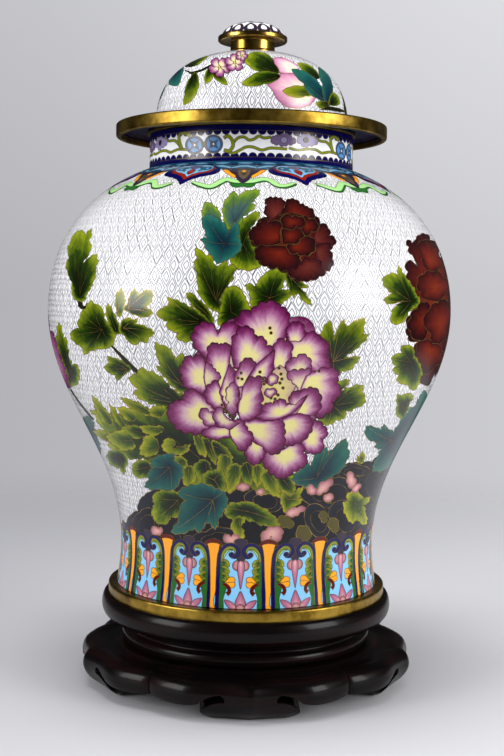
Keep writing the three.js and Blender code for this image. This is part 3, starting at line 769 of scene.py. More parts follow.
WINE_PEONY = [
    ("wine", (292, 240), [(252, 230), (258, 226), (262, 218), (270, 221), (280, 212), (295, 208),
         (312, 216), (320, 224), (328, 228), (329, 236), (333, 246), (328, 250), (332, 259), (330, 267),
         (324, 271), (318, 276), (308, 279), (298, 278), (288, 272), (278, 267), (266, 265), (258, 260),
         (255, 254), (257, 247), (251, 240)]),
    ("rose", (276, 215), [(265, 201), (268, 198), (273, 198), (278, 198), (283, 200), (285, 206, 0),
         (281, 213, 0), (275, 218, 0), (268, 224, 0), (267, 216), (265, 209), (268, 205)]),
    ("wine", (296, 216), [(286, 201), (290, 199), (295, 200), (300, 204), (305, 206), (309, 208),
         (314, 213), (313, 219, 0), (305, 216, 0), (295, 213, 0), (286, 213, 0), (279, 216, 0),
         (284, 208, 0)]),
    ("wine", (277, 237), [(249, 236), (251, 230), (256, 227), (260, 222), (263, 218), (268, 222, 0),
         (276, 220, 0), (283, 223, 0), (280, 232, 0), (281, 243, 0), (272, 246, 0), (264, 248), (257, 246),
         (253, 241)]),
    ("wine", (279, 253), [(255, 254), (257, 248), (265, 246, 0), (275, 245, 0), (286, 246), (294, 252),
         (300, 259), (300, 267), (294, 271), (286, 270), (277, 267), (268, 266), (260, 261)]),
    ("rose", (314, 240), [(317, 228), (324, 225), (328, 229), (329, 236), (335, 239), (334, 245),
         (329, 245), (323, 243, 0), (317, 246, 0), (314, 236, 0)]),
    ("rose", (317, 253), [(315, 248, 0), (319, 244, 0), (327, 242), (331, 246), (328, 251), (332, 259),
         (331, 267), (326, 271), (321, 266, 0), (317, 258, 0)]),
    ("rose", (308, 265), [(288, 272), (296, 270, 0), (300, 263, 0), (304, 258), (310, 260), (317, 259),
         (322, 266, 0), (326, 271), (319, 276), (311, 279), (303, 280), (294, 277)]),
    ("wine", (296, 247), [(298, 239, 0), (304, 235), (310, 237), (315, 246), (311, 253), (304, 255),
         (297, 253), (288, 249), (287, 245), (294, 245, 0)]),
    ("wine", (289, 237), [(281, 231), (286, 229), (293, 227, 0), (300, 226), (304, 232), (300, 239),
         (293, 244, 0), (283, 244, 0)]),
    ("wine", (307, 227), [(302, 217), (309, 219), (317, 223), (318, 229), (311, 231), (305, 236, 0),
         (301, 229, 0)]),
    ("wine", (292, 222), [(283, 216), (292, 217), (299, 217), (305, 221), (302, 227), (296, 226),
         (288, 229), (282, 224)]),
]

SIDE_PEONY = [
    ("brick", (436, 310), [(407, 240), (412, 243, 0), (416, 239), (420, 235), (425, 234), (430, 240),
         (438, 252, 0), (445, 270, 0), (449, 290, 0), (451, 310, 0), (449, 335, 0), (444, 352, 0),
         (437, 368, 0), (431, 382), (424, 385), (418, 367), (413, 358), (414, 350), (420, 342, 0),
         (413, 342), (408, 336), (408, 327), (412, 314), (416, 308, 0), (412, 298), (411, 285), (408, 272),
         (408, 261), (413, 262, 0), (418, 266, 0), (412, 255), (409, 247)]),
    ("brick", (430, 262), [(418, 248), (424, 240), (431, 244), (438, 256), (441, 268, 0), (430, 274, 0),
         (424, 266, 0)]),
    ("brick", (436, 288), [(418, 282), (424, 274), (432, 272), (442, 276), (447, 292, 0), (440, 302, 0),
         (428, 300), (421, 292)]),
    ("wine", (424, 320), [(411, 318), (417, 309), (424, 302), (430, 308, 0), (431, 322, 0), (426, 336),
         (418, 340), (411, 332)]),
    ("brick", (441, 325), [(431, 308), (438, 303), (446, 300), (450, 318, 0), (447, 338, 0), (438, 345),
         (431, 334)]),
    ("brick", (430, 350), [(417, 350), (424, 340), (433, 344), (442, 350), (437, 365, 0), (428, 374),
         (420, 366)]),
]
LILAC_SIDE = [
    ("petal", (55, 352), [(50, 331), (54, 337), (57, 348), (61, 361), (66, 366), (68, 376), (70, 388),
         (66, 385), (60, 375), (53, 362), (48, 345)]),
]

LEAVES = [
    ("leaf", (80, 294), [(78, 302), (73, 296), (72, 282), (67, 270), (66, 263), (69, 258), (68, 252),
         (71, 240), (75, 233), (82, 230), (86, 235), (92, 228), (89, 240), (91, 249), (83, 263), (90, 257),
         (97, 254), (96, 266), (94, 280), (88, 292), (82, 302)]),
    ("stem", None, [(78, 301, 0), (82, 302, 0), (83, 306, 0), (93, 306, 0), (93, 309, 0), (81, 309, 0),
         (78, 306, 0)]),
    ("stem", None, [(110, 345, 0), (113, 346, 0), (128, 360, 0), (142, 374, 0), (140, 377, 0),
         (124, 362, 0)]),
    ("stem", None, [(69, 388, 0), (71, 389, 0), (80, 402, 0), (94, 419, 0), (93, 421, 0), (79, 404, 0)]),
    ("leaf", (102, 330), [(91, 300), (94, 304), (99, 305), (103, 310), (104, 318), (107, 322), (112, 328),
         (115, 333), (114, 342), (109, 348), (103, 349), (97, 349), (90, 351), (84, 355), (83, 349),
         (79, 345), (73, 341), (70, 335), (73, 330), (79, 328), (77, 323), (80, 318), (81, 312),
         (86, 308)]),
    ("leaf", (116, 330), [(108, 303), (112, 311), (116, 318), (119, 328), (121, 334), (114, 333),
         (110, 326), (107, 318), (106, 310)]),
    ("fresh", (119, 313), [(121, 288), (124, 296), (125, 303), (123, 311), (119, 317), (116, 308),
         (116, 298)]),
    ("leaf", (128, 309), [(135, 288), (138, 296), (143, 292), (151, 290), (153, 296), (149, 304),
         (143, 309), (150, 309), (153, 313), (146, 317), (138, 316), (130, 312), (124, 310), (128, 302),
         (130, 295)]),
    ("leaf", (123, 328), [(121, 322), (127, 318), (134, 320), (138, 318), (135, 324), (141, 325),
         (148, 328), (155, 333), (149, 337), (147, 343), (141, 341), (134, 345), (129, 342), (125, 336),
         (120, 332)]),
    ("leaf", (127, 369), [(107, 356), (113, 358), (118, 359), (124, 363), (131, 369), (125, 374),
         (122, 377), (117, 381), (115, 375), (108, 372), (104, 367), (110, 363)]),
    ("teal", (92, 432), [(83, 417), (90, 417), (94, 428), (98, 440), (101, 455), (95, 446), (88, 433)]),
    ("leaf", (70, 372), [(59, 322), (62, 330), (63, 338), (66, 337), (67, 345), (68, 355), (71, 367),
         (73, 364), (78, 365), (79, 375), (78, 384), (73, 386), (70, 387), (69, 378), (66, 368), (61, 355),
         (57, 342), (57, 332)]),
    ("leaf", (190, 450), [(95, 400), (102, 406), (107, 411), (111, 417), (112, 408), (116, 412), (121, 417),
         (120, 410), (126, 408), (133, 409), (131, 404), (125, 400), (133, 401), (141, 404), (150, 412),
         (158, 407), (166, 406), (175, 415), (190, 425), (220, 434), (245, 440), (262, 455), (290, 470),
         (296, 482), (288, 494), (276, 492), (262, 494), (250, 486), (240, 482), (230, 494), (222, 487),
         (206, 484), (192, 486), (182, 474), (172, 464), (160, 456), (150, 463), (143, 458), (134, 459),
         (126, 458), (118, 452), (110, 448), (108, 440), (97, 433), (104, 430), (100, 425), (95, 415),
         (89, 410), (97, 412)]),
    ("leaf", (203, 322), [(167, 297), (172, 299), (180, 302), (187, 306), (194, 309), (200, 312),
         (208, 320), (214, 330), (222, 340), (215, 350), (200, 340), (190, 341), (178, 340), (176, 336),
         (180, 332), (168, 329), (166, 325), (168, 321), (160, 318), (156, 314), (160, 309), (168, 306),
         (169, 302)]),
    ("leaf", (205, 312), [(186, 293), (193, 294), (197, 299), (203, 303), (212, 316), (214, 326),
         (204, 316), (195, 308), (189, 300)]),
    ("leaf", (183, 386), [(155, 342), (160, 345), (166, 346), (172, 353), (175, 360), (178, 356),
         (183, 353), (184, 360), (182, 366), (190, 374), (194, 388), (182, 392), (172, 386), (166, 378),
         (160, 372), (156, 366), (162, 367), (158, 358), (156, 350)]),
    ("leaf", (182, 403), [(142, 367), (147, 371), (156, 374), (164, 380), (170, 388), (178, 393),
         (192, 396), (196, 410), (186, 420), (176, 416), (165, 410), (155, 404), (143, 400), (133, 393),
         (138, 389), (128, 378), (137, 374)]),
    ("leaf", (216, 300), [(195, 248), (199, 249), (203, 252), (206, 256), (211, 254), (213, 262),
         (216, 268), (221, 264), (227, 261), (228, 267), (234, 264), (238, 265), (234, 272), (230, 282),
         (224, 290), (220, 300), (224, 310), (218, 312), (210, 308), (203, 300), (200, 296), (198, 285),
         (197, 272), (194, 262), (198, 258)]),
    ("leaf", (231, 312), [(224, 291), (231, 286), (238, 287), (243, 293), (246, 300), (252, 314),
         (250, 326), (238, 332), (222, 330), (218, 318), (222, 304)]),
    ("leaf", (243, 244), [(240, 220), (247, 217), (252, 213), (260, 212), (257, 220), (251, 226),
         (249, 233), (252, 240), (256, 247), (257, 256), (262, 264), (255, 269), (245, 270), (236, 267),
         (230, 260), (236, 250), (239, 235)]),
    ("blue_leaf", (216, 224), [(202, 214), (203, 207), (206, 202), (213, 205), (218, 210), (221, 215),
         (218, 224, 0), (208, 222, 0), (204, 222)]),
    ("blue_leaf", (234, 222), [(223, 214), (224, 204), (229, 196), (234, 191), (238, 197), (244, 192),
         (252, 190), (260, 190), (257, 197), (250, 203), (256, 205), (251, 211), (243, 216), (240, 224),
         (233, 234), (226, 224)]),
    ("teal", (224, 244), [(206, 214), (213, 216), (220, 220), (226, 226), (229, 234), (232, 225),
         (236, 221), (239, 228), (238, 237), (242, 245), (238, 253), (230, 258), (222, 262), (217, 264),
         (213, 256), (207, 250), (204, 243), (200, 239), (207, 238), (205, 230), (202, 222)]),
    ("leaf", (270, 298), [(245, 285), (252, 284), (256, 290), (259, 279), (264, 275), (270, 270),
         (280, 268), (286, 271), (284, 281), (280, 290), (286, 290), (293, 292), (290, 297), (284, 301),
         (280, 306), (265, 312), (256, 314), (251, 308), (251, 298), (249, 291)]),
    ("leaf", (290, 277), [(285, 270), (292, 277), (300, 279), (304, 284), (309, 287), (303, 288),
         (298, 286), (303, 291), (308, 298), (312, 305), (306, 303), (300, 296), (297, 290), (294, 298),
         (290, 290), (287, 282)]),
    ("leaf", (333, 362), [(316, 344), (323, 330), (330, 320), (332, 327), (334, 340), (340, 325),
         (344, 319), (345, 330), (352, 323), (365, 318), (364, 326), (362, 336), (369, 334), (362, 343),
         (356, 349), (348, 354), (344, 359), (352, 357), (360, 357), (355, 364), (350, 370), (342, 371),
         (333, 378), (324, 372), (322, 352)]),
    ("leaf", (333, 406), [(336, 384), (343, 380), (350, 380), (346, 386), (341, 391), (352, 387),
         (363, 385), (362, 392), (366, 402), (358, 407), (346, 411), (345, 418), (336, 420), (326, 426),
         (318, 418), (322, 402), (332, 396)]),
    ("leaf", (411, 301), [(398, 265), (402, 272), (406, 278), (411, 284), (415, 292), (420, 303),
         (414, 308), (408, 312), (405, 320), (399, 324), (391, 323), (391, 316), (394, 308), (401, 303),
         (403, 300), (396, 303), (390, 304), (383, 300), (388, 296), (392, 293), (386, 288), (382, 279),
         (387, 275), (394, 273), (399, 276)]),
    ("leaf", (411, 362), [(401, 346), (407, 345), (413, 347), (414, 355), (418, 362), (422, 370),
         (420, 380), (417, 388), (413, 391), (408, 385), (403, 384), (396, 380), (399, 375), (392, 370),
         (396, 366), (391, 358), (396, 354), (402, 353)]),
    ("leaf", (404, 408), [(397, 394), (402, 396), (408, 393), (414, 396), (410, 402), (407, 412),
         (402, 420), (396, 412), (398, 405)]),
    ("leaf", (120, 458), [(108, 452), (113, 450), (120, 450), (126, 455), (128, 462), (125, 468),
         (124, 475), (120, 468), (113, 466), (107, 459)]),
    ("leaf", (148, 467), [(134, 463), (140, 460), (148, 461), (153, 468), (149, 476), (142, 478),
         (135, 476), (132, 470)]),
]
LOBES = [
    ("fresh", (112, 424), [(95, 400), (103, 407), (108, 415), (113, 425), (106, 424), (99, 414)]),
    ("fresh", (126, 429), [(112, 408), (117, 413), (122, 420), (127, 430), (118, 424)]),
    ("fresh", (136, 422), [(120, 410), (127, 408), (133, 410), (136, 419), (128, 421)]),
    ("fresh", (151, 414), [(125, 400), (134, 402), (142, 406), (151, 415), (140, 412), (131, 408)]),
    ("fresh", (162, 416), [(150, 411), (158, 406), (166, 407), (162, 416), (154, 417)]),
    ("fresh", (119, 443), [(97, 433), (104, 431), (112, 436), (120, 444), (110, 442), (104, 440)]),
    ("fresh", (133, 441), [(110, 437), (118, 431), (125, 430), (134, 435), (130, 440), (136, 446),
         (125, 451), (116, 446)]),
    ("leaf", (146, 433), [(126, 428), (138, 426), (148, 433), (138, 439), (130, 434)]),
    ("fresh", (164, 430), [(143, 427), (152, 426), (164, 428), (157, 435), (148, 434)]),
    ("fresh", (160, 446), [(142, 444), (146, 436), (153, 435), (158, 444), (158, 452), (151, 456),
         (143, 453)]),
    ("fresh", (184, 446), [(165, 446), (168, 438), (175, 441), (172, 449), (182, 447), (191, 444),
         (185, 453), (174, 455), (166, 452)]),
    ("fresh", (196, 436), [(194, 434), (202, 440), (208, 447), (204, 454), (197, 450)]),
    ("leaf", (206, 440), [(202, 436), (210, 443), (215, 452), (214, 461), (207, 452)]),
    ("leaf", (214, 446), [(212, 440), (224, 446), (230, 456), (224, 462), (216, 456)]),
    ("fresh", (184, 462), [(172, 466), (175, 456), (184, 458), (188, 466), (180, 470)]),
    ("fresh", (188, 466), [(182, 470), (192, 466), (196, 478), (188, 485), (183, 480)]),
    ("leaf", (206, 464), [(194, 464), (206, 460), (212, 470), (206, 482), (197, 476)]),
    ("fresh", (228, 456), [(220, 454), (230, 458), (232, 468), (224, 476), (217, 470)]),
    ("fresh", (236, 466), [(225, 474), (232, 464), (242, 466), (240, 480), (230, 489)]),
    ("leaf", (246, 464), [(240, 468), (248, 462), (254, 468), (250, 482), (243, 480)]),
    ("fresh", (256, 466), [(252, 470), (258, 464), (264, 468), (262, 480), (257, 484)]),
    ("fresh", (268, 474), [(260, 474), (268, 470), (276, 478), (278, 494), (270, 492), (264, 486)]),
    ("leaf", (282, 478), [(276, 478), (286, 476), (294, 484), (292, 493), (283, 492)]),
    ("leaf", (214, 480), [(203, 474), (212, 471), (223, 471), (225, 481), (221, 491), (212, 490),
         (204, 482)]),
]
TEALS = [
    ("teal", (170, 467), [(150, 466), (154, 458), (162, 455), (175, 454), (173, 461), (181, 465),
         (183, 473), (179, 482), (174, 490), (171, 495), (166, 489), (156, 489), (144, 487), (149, 480),
         (147, 474), (154, 468)]),
    ("leaf", (178, 500), [(152, 497), (156, 492), (166, 491), (176, 492), (184, 496), (188, 504),
         (180, 512), (176, 518), (170, 515), (168, 523), (160, 524), (154, 520), (152, 510), (155, 504)]),
    ("leaf", (246, 511), [(224, 506), (236, 503), (250, 502), (262, 508), (272, 515), (282, 525),
         (268, 526), (256, 522), (246, 519), (238, 520), (228, 518)]),
    ("fresh", (238, 518), [(231, 524), (236, 517), (245, 517), (241, 527), (245, 537), (241, 540),
         (234, 533)]),
    ("teal", (213, 500), [(178, 492), (185, 487), (195, 485), (205, 484), (215, 489), (225, 492),
         (227, 503), (223, 512), (218, 520), (215, 530), (211, 523), (205, 523), (200, 533), (195, 528),
         (188, 531), (178, 534), (171, 532), (178, 523), (180, 512), (182, 503), (188, 500), (180, 497)]),
    ("teal", (317, 478), [(346, 438), (347, 448), (350, 452), (347, 460), (343, 468), (336, 474),
         (328, 478), (322, 484), (315, 490), (308, 487), (300, 485), (291, 480), (298, 472), (304, 466),
         (308, 463), (312, 468), (314, 457), (320, 451), (327, 447), (328, 455), (335, 447)]),
    ("teal", (392, 441), [(366, 426), (374, 427), (381, 430), (384, 424), (388, 429), (394, 432),
         (399, 424), (408, 412), (416, 405), (424, 390), (427, 393), (424, 407), (418, 420), (410, 436),
         (402, 450), (394, 464), (384, 470), (372, 471), (377, 458), (382, 449), (374, 447), (380, 441),
         (370, 441), (366, 436)]),
    ("fresh", (288, 500), [(283, 490), (287, 492), (291, 498), (296, 491), (303, 487), (302, 492),
         (297, 499), (303, 499), (297, 505), (291, 508), (287, 515), (283, 508), (281, 500)]),
    ("fresh", (355, 503), [(353, 490), (360, 494), (364, 498), (370, 497), (369, 502), (363, 505),
         (366, 515), (367, 524), (362, 525), (357, 516), (353, 524), (347, 518), (344, 508), (343, 502),
         (350, 502), (346, 497)]),
    ("fresh", (361, 461), [(357, 455), (360, 458), (362, 451), (365, 458), (363, 463), (358, 463)]),
]
ROCK = [
    ("rock", (250, 520), [(108, 534), (122, 529), (127, 522), (132, 514), (138, 511), (139, 503),
         (144, 496), (150, 492), (165, 489), (200, 478), (240, 474), (290, 476), (330, 474), (345, 465),
         (352, 463), (362, 464), (372, 462), (384, 455), (398, 440), (412, 428), (405, 455), (396, 480),
         (390, 510), (386, 545, 0), (376, 575, 0), (250, 585, 0), (124, 575, 0)]),
    ("rock", (155, 505), [(132, 528), (140, 512), (150, 508), (158, 520), (154, 534), (140, 540)]),
    ("rock", (320, 495), [(300, 492), (316, 488), (330, 480), (348, 480), (356, 488), (350, 500),
         (336, 506), (318, 504), (306, 502)]),
    ("rock", (340, 515), [(330, 508), (344, 500), (356, 512), (360, 526), (350, 538), (336, 534)]),
    ("rock", (318, 522), [(306, 508), (318, 504), (326, 514), (330, 528), (322, 538), (310, 530)]),
    ("rock", (380, 490), [(366, 480), (378, 470), (392, 466), (390, 486), (386, 504), (374, 500)]),
    ("rock", (375, 525), [(362, 512), (374, 504), (386, 510), (384, 530), (372, 538), (362, 530)]),
    ("rock", (270, 500), [(244, 496), (262, 490), (280, 494), (282, 506), (270, 512), (252, 508)]),
    ("rock", (215, 535), [(190, 540), (206, 532), (224, 528), (238, 536), (230, 546), (206, 548)]),
    ("rock", (356, 470), [(336, 472), (346, 466), (362, 466), (370, 470), (356, 476), (344, 478)]),
]
BLOSSOMS = [
    ("blush", (157, 531), [(151, 529), (155, 526), (158, 530), (161, 527), (162, 533), (157, 535),
         (152, 534)]),
    ("blush", (232, 540), [(223, 539), (227, 534), (231, 537), (236, 534), (240, 539), (234, 543),
         (227, 543)]),
    ("blush", (243, 488), [(236, 488), (240, 484), (246, 484), (250, 487), (246, 490), (240, 490)]),
    ("blush", (260, 492), [(256, 492), (259, 489), (264, 490), (264, 494), (259, 495)]),
    ("blush", (290, 514), [(286, 515), (290, 509), (297, 508), (306, 508), (300, 512), (295, 516),
         (290, 517)]),
    ("blush", (312, 491), [(307, 491), (310, 484), (314, 487), (317, 491), (313, 495), (309, 494)]),
    ("blush", (321, 490), [(317, 495), (318, 488), (326, 481), (333, 480), (329, 487), (323, 493)]),
    ("blush", (328, 498), [(323, 498), (327, 494), (333, 495), (332, 500), (328, 502)]),
    ("blush", (351, 480), [(347, 478), (350, 471), (354, 477), (356, 484), (352, 489), (348, 484)]),
    ("blush", (356, 488), [(352, 491), (355, 486), (361, 484), (359, 489), (354, 493)]),
    ("blush", (272, 533), [(261, 538), (266, 530), (274, 527), (282, 529), (282, 535), (276, 542),
         (271, 536), (265, 543)]),
    ("amber", None, [(278, 519), (284, 516), (291, 520), (293, 527), (287, 527), (280, 524)]),
    ("amber", None, [(297, 530), (303, 526), (310, 531), (309, 539), (302, 540)]),
    ("amber", None, [(329, 521), (334, 518), (338, 525), (337, 532), (331, 529)]),
    ("amber", None, [(320, 513), (324, 511), (327, 518), (325, 523), (321, 519)]),
]

# Beside the photograph's view: rows with azimuths in degrees and heights
ROCK_END = [
    ("rock", (80, 120), [(66, 150), (70, 166), (76, 171), (82, 169), (87, 160), (91, 158), (96, 161),
         (100, 152), (102, 142), (107, 138), (111, 128), (112, 116), (117, 106), (119, 92), (118, 84),
         (66, 84)]),
]
LEAVES_END = [
    ("teal", (80, 168), [(80, 168), (76, 182), (79, 188), (80, 202), (84, 194), (88, 200), (89, 190),
         (95, 192), (92, 182), (97, 176), (90, 172), (86, 165)]),
    ("leaf", (92, 158), [(92, 158), (95, 164), (96, 174), (100, 171), (104, 179), (106, 170), (112, 171),
         (108, 162), (112, 156), (104, 155), (98, 152)]),
    ("leaf", (86, 150), [(86, 150), (88, 158), (92, 163), (95, 157), (101, 158), (98, 150), (102, 144),
         (95, 143), (90, 140)]),
    ("leaf", (99, 132), [(99, 132), (100, 140), (105, 146), (107, 140), (113, 142), (111, 134), (114, 128),
         (107, 127), (102, 125)]),
    ("leaf", (68, 268), [(80, 262), (82, 276), (86, 290), (90, 284), (95, 289), (95, 279), (101, 278),
         (97, 268), (99, 258), (90, 256)]),
    ("leaf", (82, 206), [(80, 206), (88, 206), (95, 204), (99, 197), (104, 194), (99, 189), (100, 180),
         (94, 184), (89, 178), (88, 186), (82, 186), (83, 196)]),
    ("blue_leaf", (-80, 168), [(-78, 170), (-82, 180), (-87, 184), (-89, 176), (-94, 176), (-91, 168),
         (-95, 160), (-88, 160), (-84, 152), (-81, 160)]),
    ("leaf", (-86, 180), [(-84, 184), (-92, 190), (-100, 188), (-104, 180), (-110, 179), (-105, 172),
         (-107, 164), (-100, 167), (-95, 160), (-93, 168), (-86, 168), (-88, 176)]),
    ("leaf", (-96, 240), [(-94, 236), (-90, 246), (-92, 258), (-97, 255), (-101, 264), (-104, 254),
         (-110, 255), (-107, 245), (-110, 236), (-102, 236)]),
]
ROCK_FOLDS = [
    ("rock", (85, 148), [(80.2, 150), (82, 158), (86, 156), (89, 148), (87, 138), (82, 136)]),
    ("rock", (92, 136), [(88, 134), (89, 143), (94, 145), (98, 137), (96, 127), (90, 126)]),
    ("rock", (85, 118), [(80.2, 116), (82, 128), (88, 128), (91, 118), (88, 106), (82, 106)]),
    ("rock", (100, 116), [(94, 114), (97, 123), (103, 124), (107, 116), (104, 106), (97, 104)]),
    ("rock", (111, 108), [(107, 106), (108, 114), (112, 114), (115, 106), (113, 99), (108, 98)]),
    ("blush", (90, 122), [(88, 122), (90, 127), (93, 126), (95, 121), (92, 117), (89, 117)]),
    ("blush", (104, 136), [(102, 136), (104, 141), (107, 139), (108, 134), (105, 131)]),
    ("teal", (80.2, 142), [(79.8, 120), (79.8, 163), (84, 172), (87, 160), (94, 159), (91, 149), (98, 142),
         (92, 137), (94, 127), (86, 127), (83, 116)]),
]
# A petal of the peonies at the sides: along and across, as shares
PETAL = [(0, -0.3), (0.3, -0.75), (0.62, -1.0), (0.84, -0.86), (0.93, -0.5), (0.88, -0.36), (1.0, -0.1),
         (0.97, 0.18), (0.9, 0.3), (0.95, 0.6), (0.82, 0.92), (0.6, 1.0), (0.3, 0.72), (0, 0.3)]

# How far the edges of each kind of field bow outwards
BOW = {"leaf": 0.1, "fresh": 0.1, "teal": 0.08, "blue_leaf": 0.12, "rock": 0.16, "blush": 0.25, "amber": 0.3}
PETALS = ("petal", "pale", "wine", "rose", "brick", "stamen")


def tips(corners, root):
    """The corners that reach further out from the root than their neighbours."""
    far = [math.hypot(c[0] - root[0], c[1] - root[1]) for c in corners]
    n = len(far)
    return [i for i in range(n) if far[i] > far[i - 1] and far[i] >= far[(i + 1) % n] and far[i] > 7]


def toothed(corners, root):
    """A leaf's corners with a pointed tooth or more on each longer edge, leaning to the leaf's tip."""
    spots = np.array([c[:2] for c in corners], float)
    ahead = np.roll(spots, -1, 0)
    side = np.sign(np.sum(spots[:, 0] * ahead[:, 1] - ahead[:, 0] * spots[:, 1]))
    far = np.hypot(*(spots - root).T)
    line = []
    for i, (p, q) in enumerate(zip(spots, ahead)):
        d = q - p
        length = math.hypot(*d)
        out = side * np.array([d[1], -d[0]]) / length
        count = int(length / 6.5)
        rising = far[(i + 1) % len(far)] > far[i]
        line.append((p[0], p[1], 0.07))
        for k in range(count):
            middle = (k + 1) / (count + 1)
            tip = p + d * middle + out * min(2.3, 0.17 * length / count)
            notch = p + d * (middle + (0.1 if rising else -0.1) / count) + out * 0.02 * length
            pair = [(tip[0], tip[1], 0.0), (notch[0], notch[1], 0.07)]
            if not rising:
                pair = [(notch[0], notch[1], 0.0), (tip[0], tip[1], 0.07)]
            line += pair
    return line


def pointed(row):
    """A small leaf lobe with its furthest corner drawn out to a point."""
    kind, root, corners = row
    far = [math.hypot(c[0] - root[0], c[1] - root[1]) for c in corners]
    i = far.index(max(far))
    x, y = corners[i][:2]
    return kind, root, corners[:i] + [(x + 0.2 * (x - root[0]), y + 0.2 * (y - root[1]))] + corners[i + 1:]


def field_from(row, surface, teeth=True, lay=None):
    """A shape on the jar or lid from one row of the drawing."""
    kind, root, corners = row
    petal = kind in PETALS
    if teeth and root and kind in ("leaf", "fresh", "teal", "blue_leaf"):
        outline = bulged(toothed(corners, root), 0.07, 1.5)
    else:
        outline = bulged(corners, 0.3 if petal else BOW.get(kind, 0), 1.5)
    veins = []
    if root and kind in ("leaf", "fresh", "teal", "blue_leaf"):
        for i in tips(corners, root):
            tip = np.array(corners[i][:2], float)
            start = np.array(root, float)
            middle = (tip + start) / 2 + 0.07 * np.array([tip[1] - start[1], start[0] - tip[0]])
            t = np.linspace(0, 0.86, 9)[:, None]
            veins.append((1 - t) ** 2 * start + 2 * t * (1 - t) * middle + t * t * tip)
    if kind == "rock":
        middle = outline.mean(0)
        veins.append(smooth(middle + (outline[::3] - middle) * 0.62 + (1.2, 0.8), pace=2.0))
    wire = ("thin" if kind in ("wine", "brick") else "plum") if petal else "gilt"
    lay = lay or surface.seen
    return Shape(lay(outline), kind, wire, lay([root])[0] if root else None, [lay(v) for v in veins])


def on_side(row, surface):
    """A shape beside the photograph's view, its points given as azimuth in degrees and height."""
    kind, root, corners = row
    laid = [(math.radians(a) * surface.reference, surface.y_at(z)) for a, z in [root] + corners]
    return field_from((kind, laid[0], laid[1:]), surface, lay=lambda spots: np.array(spots, float))


def full_peony(azimuth, height, size, kinds):
    """A peony in rings of overlapping petals, for the sides of the jar."""
    chance = np.random.default_rng(5)
    centre = np.array([math.radians(azimuth) * JAR.reference, JAR.y_at(height)])
    shapes = []
    for reach, count, wide in ((1.0, 11, 0.34), (0.8, 9, 0.32), (0.58, 7, 0.27), (0.36, 5, 0.21),
                               (0.18, 3, 0.12)):
        for i in range(count):
            a = (i + 2.7 * reach + chance.uniform(-0.2, 0.2)) * 2 * math.pi / count
            along = np.array([math.cos(a), math.sin(a)])
            across = np.array([-along[1], along[0]])
            far = reach * chance.uniform(0.88, 1.06)
            near = max(far - 0.46, 0.02)
            wide_here = wide * chance.uniform(0.9, 1.15)
            corners = [tuple(centre + size * ((near + (far - near) * t) * along + wide_here * w * across))
                       for t, w in PETAL]
            shapes.append(field_from((kinds[i % len(kinds)], tuple(centre + size * (near - 0.04) * along),
                                      corners), JAR, lay=lambda spots: np.array(spots, float)))
    return shapes


def turn_by(surface, degrees):
    """Gives the function that turns points of a drawing round the axis."""
    return lambda xy: xy + np.array([math.radians(degrees) * surface.reference, 0])


def disc(centre, radius, steps=10):
    """The outline of a round field."""
    turn = np.linspace(0, 2 * math.pi, steps, endpoint=False)
    return np.stack([centre[0] + radius * np.cos(turn), centre[1] + radius * np.sin(turn)], 1)


# The jar's drawing

SEEN_TO = 79.5  # the azimuth in degrees up to which the photograph shows the jar
RED_AT, LILAC_AT = (84, 233), (-94, 204)  # azimuth and height of the peonies at the sides


def jar_shapes():
    """The jar's flowers, from the lowest to the uppermost. The back repeats the front, and what passes
    the end of the wrap there is cut off. The petals that the photograph doesn't show lie over the drawn
    ones beside its view, and under them within it."""
    lobes = [pointed(row) for row in LOBES]
    front = [field_from(row, JAR) for row in ROCK + LEAVES + lobes + TEALS + BLOSSOMS]
    front += [field_from(row, JAR) for row in WINE_PEONY + PEONY]
    front += [Shape(JAR.seen(disc(p, 1.5)), "stem", "gilt") for p in PISTILS]
    ends = [on_side(row, JAR) for row in ROCK_END + LEAVES_END]
    front += [on_side(row, JAR) for row in ROCK_FOLDS]
    right = [field_from(row, JAR) for row in SIDE_PEONY]
    left = [field_from(row, JAR) for row in LILAC_SIDE]
    hidden = math.radians(SEEN_TO) * JAR.reference
    red = full_peony(*RED_AT, 46, ("brick", "wine"))
    lilac = full_peony(*LILAC_AT, 42, ("petal", "pale", "petal"))
    for s in left:
        s.root = np.array([math.radians(LILAC_AT[0]) * JAR.reference, JAR.y_at(LILAC_AT[1])])
    right = ([s for s in red if s.outline[:, 0].min() < hidden] + right
             + [s for s in red if s.outline[:, 0].min() >= hidden])
    left = ([s for s in lilac if s.outline[:, 0].max() > 8 - hidden] + left
            + [s for s in lilac if s.outline[:, 0].max() <= 8 - hidden])
    back = [s.moved(turn_by(JAR, 180)) for s in ends + front]
    return back + ends + right + left + front


def lattice(field, low, high, columns, height):
    """Wire cells on the white ground: pointed outer cells in staggered rows, each with a smaller one
    inside, cut off where they meet another field."""
    wide = 2 * math.pi * field.surface.reference / columns
    x0 = field.points[:, 0].min()
    lines = []
    rows = int((high - low) / (height / 2)) + 2
    for row in range(rows):
        for column in range(columns):
            cx = x0 + (column + 0.5 + 0.5 * (row % 2)) * wide
            cy = low + row * height / 2
            for share in (0.8, 0.42):
                w, h = wide / 2 * share, height / 2 * share * (1.06 if share > 0.5 else 1)
                jog = rng.uniform(-0.05, 0.05, (4, 2)) * wide
                corners = np.array([(0, -h), (w, 0), (0, h), (-w, 0)]) + jog + (cx, cy)
                lines.append(clip(field, bulged([tuple(c) for c in corners], 0.035, height / 5)))
    return [line for group in lines for line in group]


